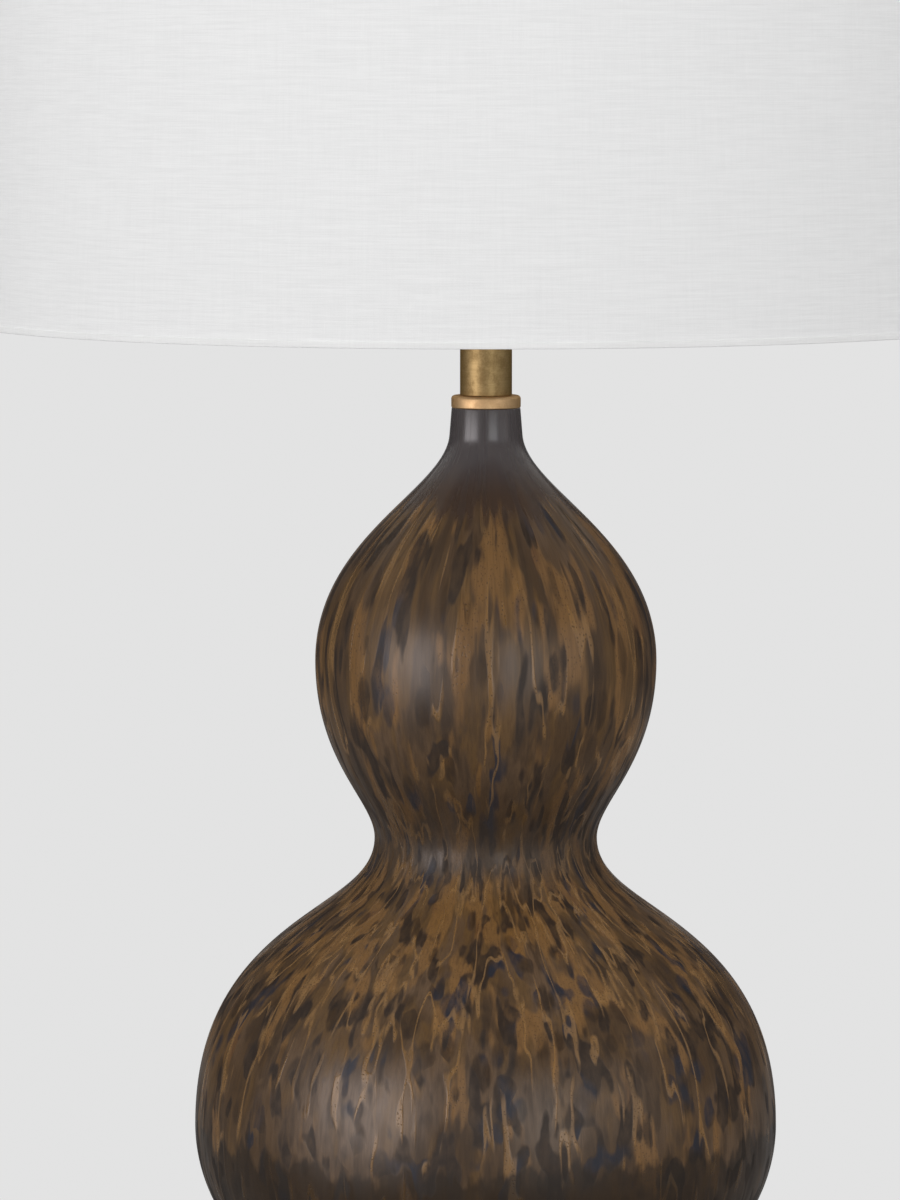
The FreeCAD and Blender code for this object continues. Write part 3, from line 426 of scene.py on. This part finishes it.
    # Thin drips of pale gold over all that, with pepper along them, and fine dark hairs
    thread = sums(tree, "ABSOLUTE", minus(tree, stretched_noise(tree, place, (11.0, 11.0, 90.0)), 0.5))
    broken = stretched_noise(tree, ragged, (8.0, 8.0, 46.0), detail=3.0)
    broken = minus(tree, plus(tree, broken, rich), times(tree, upper, 0.10))
    broken = fade(tree, broken, 0.40, 0.52)
    drip = times(tree, fade(tree, thread, 0.032, 0.010), broken)
    colour = tint(tree, times(tree, drip, 0.66), colour, PALE_GOLD)
    speck = add(tree, "TexVoronoi", Vector=wall, Scale=0.8).outputs["Distance"]
    peppered = fade(tree, plus(tree, times(tree, gold, 0.7), drip), 0.3, 0.9)
    pepper = times(tree, fade(tree, speck, 0.34, 0.16), peppered)
    colour = tint(tree, times(tree, pepper, 0.55), colour, SOOT)
    colour = tint(tree, fade(tree, hairs, 0.38, 0.7, 0.0, 0.25), colour, SOOT)

    # The bands go over the pattern
    colour = tint(tree, times(tree, waist, 0.50), colour, WAIST_SHADE)
    gunmetal = fade(tree, height, GUNMETAL_FROM, GUNMETAL_TO)
    iron = tint(tree, gunmetal, IRON, GUNMETAL)
    colour = tint(tree, times(tree, crown, 0.95), colour, iron)
    # Painted shade, with darker glaze, over the foot band towards the bottom
    colour = tint(tree, times(tree, foot, 0.74), colour, FOOT_GLAZE_AND_PAINTED_SHADE)
    tree.links.new(colour, shader.inputs["Base Color"])

    # Gloss: blots and waist are duller, drips and crown are shinier, and streaks vary it on the glaze
    dull = plus(tree, times(tree, large, 0.16), times(tree, waist, 0.13))
    shiny = plus(tree, times(tree, drip, 0.12), times(tree, crown, 0.12))
    glazed = minus(tree, 1.0, crown)
    uneven = sums(tree, "MULTIPLY_ADD", waist, 0.10, 0.07)
    uneven = times(tree, times(tree, fade(tree, streaks, 0.3, 0.7, -1.0, 1.0), uneven), glazed)
    rough = plus(tree, plus(tree, minus(tree, dull, shiny), GLAZE_ROUGHNESS), uneven)
    tree.links.new(rough, shader.inputs["Roughness"])
    tree.links.new(times(tree, gunmetal, NECK_COAT), shader.inputs["Coat Weight"])

    # Relief: drips and hairs stand proud, pepper and blots are sunk
    raised = plus(tree, times(tree, hairs, 0.25), times(tree, drip, 0.9))
    raised = minus(tree, raised, times(tree, pepper, 0.5))
    raised = minus(tree, raised, times(tree, large, 0.35))
    relief(tree, shader, times(tree, raised, glazed), GLAZE_RELIEF)
    return material


gourd, outline = cast_gourd()
mark_fall(gourd, outline)
fit(gourd, tortoiseshell_glaze(), "lamp_base", "glaze", "gourd_body")


# Cord bushing: a black nylon sleeve through the back of the foot, with a rounded flange.
# Moulded, with the fine dull skin that a spark-eroded mould leaves.

def new_group(name, inputs, outputs):
    """An empty group of shader nodes for numbers: inputs are (name, value), and outputs are names."""
    group = bpy.data.node_groups.new(name, "ShaderNodeTree")
    for label, value in inputs:
        socket = group.interface.new_socket(name=label, in_out="INPUT", socket_type="NodeSocketFloat")
        socket.default_value = value
    for label in outputs:
        group.interface.new_socket(name=label, in_out="OUTPUT", socket_type="NodeSocketFloat")
    return group, group.nodes.new("NodeGroupInput"), group.nodes.new("NodeGroupOutput")


def place_group(tree, group, **values):
    """Puts a group in a material, with its own values."""
    node = tree.nodes.new("ShaderNodeGroup")
    node.node_tree = group
    for socket, value in values.items():
        node.inputs[socket.replace("_", " ")].default_value = value
    return node


def moulded_skin_group():
    """Skin of a moulding: fine even grain over slow ripples."""
    group, entry, leave = new_group("moulded_skin", [("Grain size", 0.3)], ["Height", "Shade"])
    solid = add(group, "TexCoord").outputs["Object"]
    size = times(group, entry.outputs[0], MM)
    scaled = add(group, "VectorMath", solid, settings={"operation": "SCALE"})
    group.links.new(sums(group, "DIVIDE", 1.0, size), scaled.inputs["Scale"])
    grain = add(group, "TexNoise", Vector=scaled.outputs[0], Scale=1.0, Detail=3.0).outputs[0]
    ripple = stretched_noise(group, solid, (6 * MM, 6 * MM, 6 * MM))
    group.links.new(grain, leave.inputs["Height"])
    shade = plus(group, times(group, grain, 0.5), ripple)
    group.links.new(fade(group, shade, 0.4, 1.1), leave.inputs["Shade"])
    return group


moulded_skin = moulded_skin_group()


def moulded_finish(name, colour, roughness, grain=0.3, depth=0.03):
    """Moulded rubber, plastic or phenolic. The grain and its depth are in mm."""
    material, tree, shader = new_finish(name)
    skin = place_group(tree, moulded_skin, Grain_size=grain)
    darker = [channel * 0.7 for channel in colour]
    tree.links.new(tint(tree, skin.outputs["Shade"], darker, colour), shader.inputs["Base Color"])
    tree.links.new(fade(tree, skin.outputs["Shade"], 0.0, 1.0, roughness + 0.06, roughness - 0.04),
                   shader.inputs["Roughness"])
    relief(tree, shader, skin.outputs["Height"], depth * MM)
    return material


dress(moulded_finish("bushing_nylon", (0.020, 0.020, 0.021), 0.45), "cord_bushing")


# Clamping hardware: rubber washer, plate washer, nuts and the threaded pipe that pulls the column
# together. Zinc-plated steel, bright but cloudy, on a soft black washer.

# Noise waves in a metre along the lines, which is few, so that they are long
LINE_STRETCH = 60.0


def hairlines_group():
    """Lines left by turning or brushing: they run round the lamp's axis, and a few are deeper."""
    group, entry, leave = new_group("hairlines", [("Line size", 0.2)], ["Height", "Shade"])
    solid = add(group, "TexCoord").outputs["Object"]
    across = sums(group, "DIVIDE", 1 / MM, entry.outputs[0])
    stretch = add(group, "CombineXYZ", LINE_STRETCH, LINE_STRETCH, across).outputs[0]
    scaled = vector_sums(group, "MULTIPLY", solid, stretch)
    lines = add(group, "TexNoise", Vector=scaled, Scale=1.0, Detail=3.0, Roughness=0.6).outputs[0]
    group.links.new(lines, leave.inputs["Height"])
    group.links.new(fade(group, lines, 0.25, 0.75), leave.inputs["Shade"])
    return group


def tarnish_group():
    """Clouds and freckles of tarnish on a metal."""
    group, entry, leave = new_group("tarnish", [("Cloud size", 8.0)], ["Mask"])
    solid = add(group, "TexCoord").outputs["Object"]
    scaled = add(group, "VectorMath", solid, settings={"operation": "SCALE"})
    group.links.new(sums(group, "DIVIDE", 1 / MM, entry.outputs[0]), scaled.inputs["Scale"])
    place = scaled.outputs[0]
    clouds = add(group, "TexNoise", Vector=place, Scale=1.0, Detail=5.0, Roughness=0.6).outputs[0]
    freckles = add(group, "TexNoise", Vector=place, Scale=9.0, Detail=2.0).outputs[0]
    mask = plus(group, times(group, clouds, 0.75), times(group, freckles, 0.25))
    group.links.new(fade(group, mask, 0.40, 0.62), leave.inputs["Mask"])
    return group


hairlines = hairlines_group()
tarnish = tarnish_group()


def metal_finish(name, bright, dull, roughness, line=0.2, depth=0.004, cloud=8.0, edge=(1.0, 1.0, 1.0)):
    """Metal from bright to dull. The sizes of its lines, their depth and its clouds are in mm. The edge
    colour tints what it mirrors at a low angle."""
    material, tree, shader = new_finish(name, Metallic=1.0, Specular_Tint=(*edge, 1.0))
    lines = place_group(tree, hairlines, Line_size=line)
    clouds = place_group(tree, tarnish, Cloud_size=cloud).outputs[0]
    colour = tint(tree, clouds, bright, dull)
    colour = tint(tree, times(tree, lines.outputs["Shade"], 0.35), colour, dull)
    tree.links.new(colour, shader.inputs["Base Color"])
    rough = plus(tree, times(tree, clouds, 0.10), roughness)
    rough = plus(tree, rough, times(tree, lines.outputs["Shade"], 0.06))
    tree.links.new(rough, shader.inputs["Roughness"])
    relief(tree, shader, lines.outputs["Height"], depth * MM)
    return material


zinc = metal_finish("zinc_plate", (0.62, 0.62, 0.60), (0.45, 0.46, 0.45), 0.28, cloud=4.0)
dress(moulded_finish("washer_rubber", (0.022, 0.022, 0.022), 0.7), "rubber_washer")
dress(zinc, "steel_washer", "bottom_nut", "lamp_pipe", "top_nut", "socket_set_screw")


# Brass neck: a turned cap on the ceramic, a one inch tube on it, and a cover on the tube's top.
# Antique brass, brushed round and lacquered. The cap is of a lighter, redder alloy than the tube.

def turned(name, corners, steps=128, segments=5):
    """A piece turned from a closed outline of (radius, height, rounding) corners, in mm."""
    line = draw_line([corner[:2] for corner in corners], 1, closed=True)
    round_corners(line, corners, segments)
    return spin(line, name, steps)


def levels(node):
    """Lowest and highest point of a node, in mm."""
    low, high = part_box(node)
    return low.z / MM, high.z / MM


CAP_R, TUBE_R, COVER_R, TUBE_WALL = 17.0, 12.7, 13.7, 1.2
# The spigot in the neck and the bosses in the tube have a little play
SPIGOT_R, BOSS_R = BORE_R - 0.25, TUBE_R - TUBE_WALL - 0.125
tube_foot, tube_top = levels("neck_tube")
cap_foot, cap_head = levels("neck_cap")
cover_foot, cover_head = levels("tube_cap")

brass_cap = turned("brass_cap", [
    (PIPE_HOLE_R, cap_foot, 0), (SPIGOT_R, cap_foot, 0.5), (SPIGOT_R, LIP_Z, 0), (CAP_R, LIP_Z, 0.6),
    (CAP_R, tube_foot, 1.6), (BOSS_R, tube_foot, 0), (BOSS_R, cap_head, 0.4), (PIPE_HOLE_R, cap_head, 0)])
brass_tube = turned("brass_tube", [
    (TUBE_R - TUBE_WALL, tube_foot, 0.2), (TUBE_R, tube_foot, 0.45), (TUBE_R, tube_top, 0.4),
    (TUBE_R - TUBE_WALL, tube_top, 0.2)])
brass_cover = turned("brass_cover", [
    (PIPE_HOLE_R, cover_foot, 0), (BOSS_R, cover_foot, 0.4), (BOSS_R, tube_top, 0),
    (COVER_R, tube_top, 0.4), (COVER_R, cover_head, 1.0), (PIPE_HOLE_R, cover_head, 0)])

antique_brass = metal_finish("antique_brass", (0.52, 0.365, 0.170), (0.38, 0.255, 0.110), 0.45,
                             line=0.5, depth=0.012, edge=(0.35, 0.30, 0.24))
cap_brass = metal_finish("cap_brass", (0.90, 0.610, 0.330), (0.76, 0.500, 0.260), 0.46,
                         line=0.3, depth=0.004, edge=(0.5, 0.42, 0.34))
fit(brass_cap, cap_brass, "lamp_base", "antique_brass", "neck_cap")
fit(brass_tube, antique_brass, "lamp_base", "antique_brass", "neck_tube")
fit(brass_cover, antique_brass, "lamp_base", "antique_brass", "tube_cap")


# Harp saddle: a strip of brass-plated steel, bent up at both ends, with a tongue on each arm.
# Stamped and plated, with a satin skin and light brushing.

harp_brass = metal_finish("harp_brass", (0.62, 0.45, 0.20), (0.48, 0.34, 0.15), 0.30, line=0.3)
dress(harp_brass, "harp_saddle")


# Turn-key socket: drawn brass cap and shell, a paper sleeve, a phenolic body with its terminal screws,
# and the threaded cup and spring contact that take the bulb.

socket_brass = metal_finish("socket_brass", (0.80, 0.61, 0.30), (0.66, 0.48, 0.22), 0.22,
                            line=0.25, depth=0.0015, cloud=14.0)
contact_brass = metal_finish("contact_brass", (0.78, 0.58, 0.28), (0.60, 0.44, 0.22), 0.26, line=0.4)


def fibre_finish():
    material, tree, shader = new_finish("sleeve_paper", Roughness=0.85)
    solid = add(tree, "TexCoord").outputs["Object"]
    pulp = stretched_noise(tree, solid, (1.2 * MM, 1.2 * MM, 0.5 * MM), detail=4.0)
    tree.links.new(tint(tree, pulp, (0.30, 0.22, 0.13), (0.46, 0.36, 0.23)), shader.inputs["Base Color"])
    relief(tree, shader, pulp, 0.05 * MM)
    return material


dress(socket_brass, "socket_cap", "socket_shell")
dress(fibre_finish(), "socket_paper_liner")
dress(moulded_finish("socket_phenolic", (0.035, 0.026, 0.020), 0.35, grain=0.5), "socket_interior")
dress(contact_brass, "terminal_screws", "screw_shell", "centre_contact")


# Switch key: a turned brass stem in the side of the socket, which switches the light on and off.
# A fluted knob of black phenolic is pushed on its end.

dress(socket_brass, "switch_stem")
dress(moulded_finish("knob_phenolic", (0.012, 0.011, 0.011), 0.18, grain=0.8, depth=0.01), "switch_knob")


# Bulb: a blown glass envelope with a frosted skin, cemented into a rolled aluminium base.
# A black insulator closes the base, with a solder contact in its middle.

def frosted_finish():
    material, tree, shader = new_finish("frosted_glass", Transmission_Weight=0.35, IOR=1.5, Metallic=0.0)
    solid = add(tree, "TexCoord").outputs["Object"]
    frost = stretched_noise(tree, solid, (0.5 * MM, 0.5 * MM, 0.5 * MM), detail=3.0)
    haze = stretched_noise(tree, solid, (22 * MM, 22 * MM, 22 * MM))
    tree.links.new(tint(tree, haze, (0.90, 0.90, 0.88), (0.95, 0.95, 0.94)), shader.inputs["Base Color"])
    tree.links.new(fade(tree, frost, 0.2, 0.8, 0.42, 0.58), shader.inputs["Roughness"])
    relief(tree, shader, frost, 0.01 * MM)
    return material


aluminium = metal_finish("rolled_aluminium", (0.80, 0.80, 0.79), (0.66, 0.66, 0.66), 0.26, line=0.5)
solder = metal_finish("solder", (0.66, 0.65, 0.62), (0.50, 0.49, 0.47), 0.34, line=1.0, cloud=2.0)
dress(frosted_finish(), "bulb_glass")
dress(aluminium, "bulb_cap")
insulator = moulded_finish("base_insulator", (0.015, 0.014, 0.016), 0.15, grain=0.8, depth=0.01)
dress(insulator, "bulb_insulator")
dress(solder, "bulb_contact")


# Harp: a bow of brass-plated wire with an eyelet at its top, and two sleeves that lock its feet on the
# saddle. The swivel stud is riveted in the eyelet and carries the shade.

dress(harp_brass, "harp_wire", "harp_sleeve_left", "harp_sleeve_right", "harp_stud")


# Shade frame: two hoops and a three-arm spider of steel wire, spot-welded and coated white.
# The spider's washer sits on the stud.

def coated_wire_finish():
    material, tree, shader = new_finish("white_coat", Specular_IOR_Level=0.5)
    skin = place_group(tree, moulded_skin, Grain_size=0.8)
    tree.links.new(tint(tree, skin.outputs["Shade"], (0.74, 0.74, 0.72), (0.82, 0.82, 0.80)),
                   shader.inputs["Base Color"])
    tree.links.new(fade(tree, skin.outputs["Shade"], 0.0, 1.0, 0.42, 0.32), shader.inputs["Roughness"])
    relief(tree, shader, skin.outputs["Height"], 0.012 * MM)
    return material


dress(coated_wire_finish(), "shade_spider", "shade_bottom_ring", "shade_top_ring")


# Shade: white linen glued on a styrene drum, with a lapped seam at the back.
# The weave has uneven slubs, more of them across than up, and a folded tape finishes both edges.

# Sizes in mm: the drum's radius at its foot and how much narrower its head is, the two skins, the tape,
# the hoops and the seam
SHADE_R, SHADE_TAPER, LINEN_T, STYRENE_T = 254.0, 12.7, 0.5, 0.8
TAPE_T, TAPE_OUT, TAPE_IN = 0.5, 3.0, 6.0
HOOP_R, HOOP_GAP = 1.75, 0.05
SEAM_HALF, SEAM_T = 6.0, 0.3
# The weave is unrolled at this radius
WEAVE_R = 250.0


def weave_group():
    """Plain weave round the drum: thread tone and relief, from the place round it and up it."""
    group, entry, leave = new_group("linen_weave", [("Thread", 0.55), ("Slub", 1.0)], ["Height", "Shade"])
    solid = add(group, "TexCoord").outputs["Object"]
    axes = add(group, "SeparateXYZ", solid)
    back = times(group, axes.outputs[1], -1.0)
    girth = times(group, sums(group, "ARCTAN2", axes.outputs[0], back), WEAVE_R)
    rise = times(group, axes.outputs[2], 1 / MM)
    place = add(group, "CombineXYZ", girth, rise, 0.0).outputs[0]
    weft = stretched_noise(group, place, (16.0, 0.55, 1.0), roughness=0.7)
    thick_weft = stretched_noise(group, place, (45.0, 1.5, 1.0))
    warp = stretched_noise(group, place, (0.55, 14.0, 1.0), roughness=0.7)
    thick_warp = stretched_noise(group, place, (1.6, 38.0, 1.0), detail=1.0)

    def ridges(along):
        turn = sums(group, "DIVIDE", times(group, along, 2 * math.pi), entry.outputs["Thread"])
        return sums(group, "SINE", turn)

    threads = times(group, ridges(girth), ridges(rise))
    slubs = plus(group, times(group, weft, 0.55), times(group, thick_weft, 0.45))
    uprights = plus(group, times(group, warp, 0.6), times(group, thick_warp, 0.4))
    tone = plus(group, times(group, slubs, 0.72), times(group, uprights, 0.28))
    tone = times(group, minus(group, tone, 0.5), entry.outputs["Slub"])
    group.links.new(plus(group, tone, 0.5), leave.inputs["Shade"])
    height = plus(group, times(group, threads, 0.25), times(group, tone, 1.2))
    group.links.new(plus(group, height, 0.5), leave.inputs["Height"])
    return group


linen_weave = weave_group()


def linen_finish(name, dark, light, depth=0.10):
    material, tree, shader = new_finish(name, Roughness=0.85, Sheen_Weight=0.12, Specular_IOR_Level=0.2)
    weave = place_group(tree, linen_weave)
    tree.links.new(tint(tree, fade(tree, weave.outputs["Shade"], 0.30, 0.70), dark, light),
                   shader.inputs["Base Color"])
    relief(tree, shader, weave.outputs["Height"], depth * MM)
    return material


def styrene_finish():
    material, tree, shader = new_finish("styrene_backing", Roughness=0.5, Specular_IOR_Level=0.35)
    skin = place_group(tree, moulded_skin, Grain_size=1.2)
    tree.links.new(tint(tree, skin.outputs["Shade"], (0.80, 0.80, 0.785), (0.84, 0.84, 0.825)),
                   shader.inputs["Base Color"])
    relief(tree, shader, skin.outputs["Height"], 0.01 * MM)
    return material


shade_foot, _ = levels("shade_bottom_hem")
_, shade_head = levels("shade_top_hem")


def drum_r(height):
    """Radius of the linen's outside at a height, in mm."""
    return SHADE_R - SHADE_TAPER * (height - shade_foot) / (shade_head - shade_foot)


linen_foot, linen_head = levels("shade_linen")
linen_foot_r, linen_head_r = drum_r(linen_foot), drum_r(linen_head)
linen = turned("linen_cover", [
    (linen_foot_r - LINEN_T, linen_foot, 0), (linen_foot_r, linen_foot, 0),
    (linen_head_r, linen_head, 0), (linen_head_r - LINEN_T, linen_head, 0)], steps=ROUND_STEPS)


def folded_tape(name, edge, way):
    """Tape folded round an edge of the drum: short outside, and up behind the hoop inside."""
    hoop_z = edge + way * (TAPE_T + HOOP_R)
    narrowest = min(drum_r(hoop_z - HOOP_R), drum_r(hoop_z + HOOP_R))
    inner = narrowest - LINEN_T - STYRENE_T - HOOP_GAP - 2 * HOOP_R
    out_end, in_end, seat = edge + way * TAPE_OUT, edge + way * TAPE_IN, edge + way * TAPE_T
    return turned(name, [
        (drum_r(out_end) + TAPE_T, out_end, 0.22), (drum_r(edge) + TAPE_T, edge, 0.35),
        (inner - TAPE_T, edge, 0.8), (inner - TAPE_T, in_end, 0.2), (inner, in_end, 0.2),
        (inner, seat, 0), (drum_r(seat), seat, 0), (drum_r(out_end), out_end, 0.1)], steps=ROUND_STEPS)


def lapped_seam():
    """Strip where the linen's end is glued over its start, at the back."""
    half = SEAM_HALF / SHADE_R
    bpy.ops.object.select_all(action="DESELECT")
    bpy.ops.mesh.primitive_cylinder_add(
        vertices=2 * ROUND_STEPS, radius=SHADE_R * MM, depth=1.0, end_fill_type="NOTHING")
    strip = bpy.context.object
    bpy.ops.object.mode_set(mode="EDIT")
    bpy.ops.mesh.select_mode(type="FACE")
    bpy.ops.mesh.select_all(action="DESELECT")
    bpy.ops.object.mode_set(mode="OBJECT")
    for face in strip.data.polygons:
        face.select = abs(math.atan2(face.center.x, face.center.y)) > half
    bpy.ops.object.mode_set(mode="EDIT")
    bpy.ops.mesh.delete(type="FACE")
    bpy.ops.object.mode_set(mode="OBJECT")
    foot, head = shade_foot + TAPE_OUT, shade_head - TAPE_OUT
    for vertex in strip.data.vertices:
        height = head if vertex.co.z > 0 else foot
        vertex.co *= (drum_r(height) + SEAM_T) / SHADE_R
        vertex.co.z = height * MM
    skin = strip.modifiers.new("thickness", "SOLIDIFY")
    skin.thickness = SEAM_T * MM
    skin.offset = -1
    bpy.ops.object.modifier_apply(modifier=skin.name)
    strip.name = strip.data.name = "linen_seam"
    return strip


linen_cloth = linen_finish("white_linen", (0.785, 0.785, 0.786), (0.865, 0.865, 0.866))
tape_cloth = linen_finish("linen_tape", (0.77, 0.77, 0.768), (0.86, 0.86, 0.857), depth=0.07)
bottom_tape = folded_tape("bottom_tape", shade_foot, 1)
top_tape = folded_tape("top_tape", shade_head, -1)
seam = lapped_seam()
fit(linen, linen_cloth, "shade", "linen", "shade_linen")
fit(seam, linen_cloth, "shade", "linen")
fit(bottom_tape, tape_cloth, "shade", "linen", "shade_bottom_hem")
fit(top_tape, tape_cloth, "shade", "linen", "shade_top_hem")
dress(styrene_finish(), "shade_liner")


# Finial: a turned brass nut with a ball and a small tip, in the finish of the neck's tube.
# It screws on the stud and clamps the spider's washer.

dress(antique_brass, "finial")


# Studio: a pale floor in a pale surround, with five soft panels in front. Three of them only show in
# glossy faces, as tall windows do, and two only light matt ones. The camera stands 2.5 m away and looks
# down by six degrees, as in the photograph.

PALE = (0.767, 0.767, 0.767)
# Floor: its colour as it lights the lamp, and in metres its size, the fade of the shadow's floor, and the
# hole under the felt
FLOOR_LIGHT = (0.26, 0.26, 0.26)
FLOOR_SIZE, SHADOW_FROM, SHADOW_TO, HOLE_R, HOLE_EDGE = 1.6, 0.13, 0.27, 0.078, 0.079
# Surround: strength in front of and behind the lamp for matt faces, and for mirrors at the sides, at the
# ends of the room and straight behind
FRONT_FILL, BACK_FILL = 1.20, 0.98
ROOM_SIDES, ROOM_ENDS, BACKDROP = 0.22, 0.08, 0.50
PANEL_AWAY, PANEL_Z, PANEL_TALL, PANEL_AIM_Z = 2.0, 0.46, 1.3, 0.4
CAMERA_AT, CAMERA_TILT = (-0.0176, -2.5, 0.623), 6.0
LENS, SENSOR = 153.7, 36.0


def studio_floor():
    """Pale disc: it keeps the lamp's shadow near the foot, and further out the surround shows instead.
    It is clear under the felt, so that the felt is lit when the lamp is seen from below."""
    bpy.ops.object.select_all(action="DESELECT")
    bpy.ops.mesh.primitive_circle_add(vertices=128, radius=FLOOR_SIZE, fill_type="NGON")
    floor = bpy.context.object
    floor.name = floor.data.name = "studio_floor"
    material, tree, shader = new_finish("pale_floor", Roughness=0.8, Specular_IOR_Level=0.0)
    seen = add(tree, "LightPath").outputs["Is Camera Ray"]
    tree.links.new(tint(tree, seen, FLOOR_LIGHT, PALE), shader.inputs["Base Color"])
    solid = add(tree, "TexCoord").outputs["Object"]
    reach = add(tree, "VectorMath", solid, settings={"operation": "LENGTH"}).outputs[1]
    gone = fade(tree, reach, SHADOW_FROM, SHADOW_TO)
    below = add(tree, "NewGeometry").outputs["Backfacing"]
    under_felt = fade(tree, reach, HOLE_EDGE, HOLE_R)
    clear = times(tree, seen, sums(tree, "MAXIMUM", gone, below))
    clear = sums(tree, "MAXIMUM", clear, under_felt)
    glass = add(tree, "BsdfTransparent")
    mix = add(tree, "MixShader", clear, shader.outputs[0], glass.outputs[0])
    tree.links.new(mix.outputs[0], tree.nodes["Material Output"].inputs["Surface"])
    floor.data.materials.append(material)


def surround():
    """Pale for the camera and through glass, a little dimmer from the back for matt faces, and a dim room
    with its pale backdrop straight behind for what is mirrored."""
    world = bpy.data.worlds.new("surround")
    bpy.context.scene.world = world
    world.use_nodes = True
    tree = world.node_tree
    rays = add(tree, "LightPath").outputs
    behind = add(tree, "SeparateXYZ", add(tree, "TexCoord").outputs["Generated"]).outputs[1]
    fill = fade(tree, behind, -0.8, 0.8, FRONT_FILL, BACK_FILL)
    room = fade(tree, sums(tree, "ABSOLUTE", behind), 0.1, 0.8, ROOM_SIDES, ROOM_ENDS)
    room = plus(tree, room, fade(tree, behind, 0.95, 1.0, 0.0, BACKDROP))
    seen = sums(tree, "MAXIMUM", rays["Is Camera Ray"], rays["Is Transmission Ray"])
    strength = sums(tree, "MULTIPLY_ADD", seen, minus(tree, 1.0, fill), fill)
    strength = sums(tree, "MULTIPLY_ADD", rays["Is Glossy Ray"], minus(tree, room, strength), strength)
    background = tree.nodes["Background"]
    background.inputs["Color"].default_value = (*PALE, 1.0)
    tree.links.new(strength, background.inputs["Strength"])


def panel(name, azimuth, width, radiance, colour=(1.0, 1.0, 1.0), mirrored=True):
    """Soft panel in front of the lamp, which either shows in glossy faces or lights matt ones."""
    angle = math.radians(azimuth)
    bpy.ops.object.light_add(type="AREA")
    light = bpy.context.object
    light.name = name
    light.data.shape = "RECTANGLE"
    light.data.size, light.data.size_y = width, PANEL_TALL
    light.data.energy, light.data.color = math.pi * width * PANEL_TALL * radiance, colour
    light.location = (PANEL_AWAY * math.sin(angle), -PANEL_AWAY * math.cos(angle), PANEL_Z)
    aim = Vector((0, 0, PANEL_AIM_Z)) - light.location
    light.rotation_euler = aim.to_track_quat("-Z", "Y").to_euler()
    light.visible_glossy, light.visible_diffuse = mirrored, not mirrored


def camera():
    bpy.ops.object.camera_add(location=CAMERA_AT, rotation=(math.radians(90 - CAMERA_TILT), 0, 0))
    eye = bpy.context.object
    eye.data.lens, eye.data.sensor_width = LENS, SENSOR
    bpy.context.scene.camera = eye


studio_floor()
surround()
panel("left_window", -49, 1.55, 3.2, (1.0, 0.955, 0.97))
panel("right_window", 22, 1.0, 2.1, (0.97, 0.985, 1.0))
panel("right_glow", 58, 1.1, 0.55)
panel("left_fill", -36, 1.0, 2.1, mirrored=False)
panel("right_fill", 55, 1.0, 1.0, mirrored=False)
camera()
bpy.context.scene.view_settings.view_transform = "Standard"
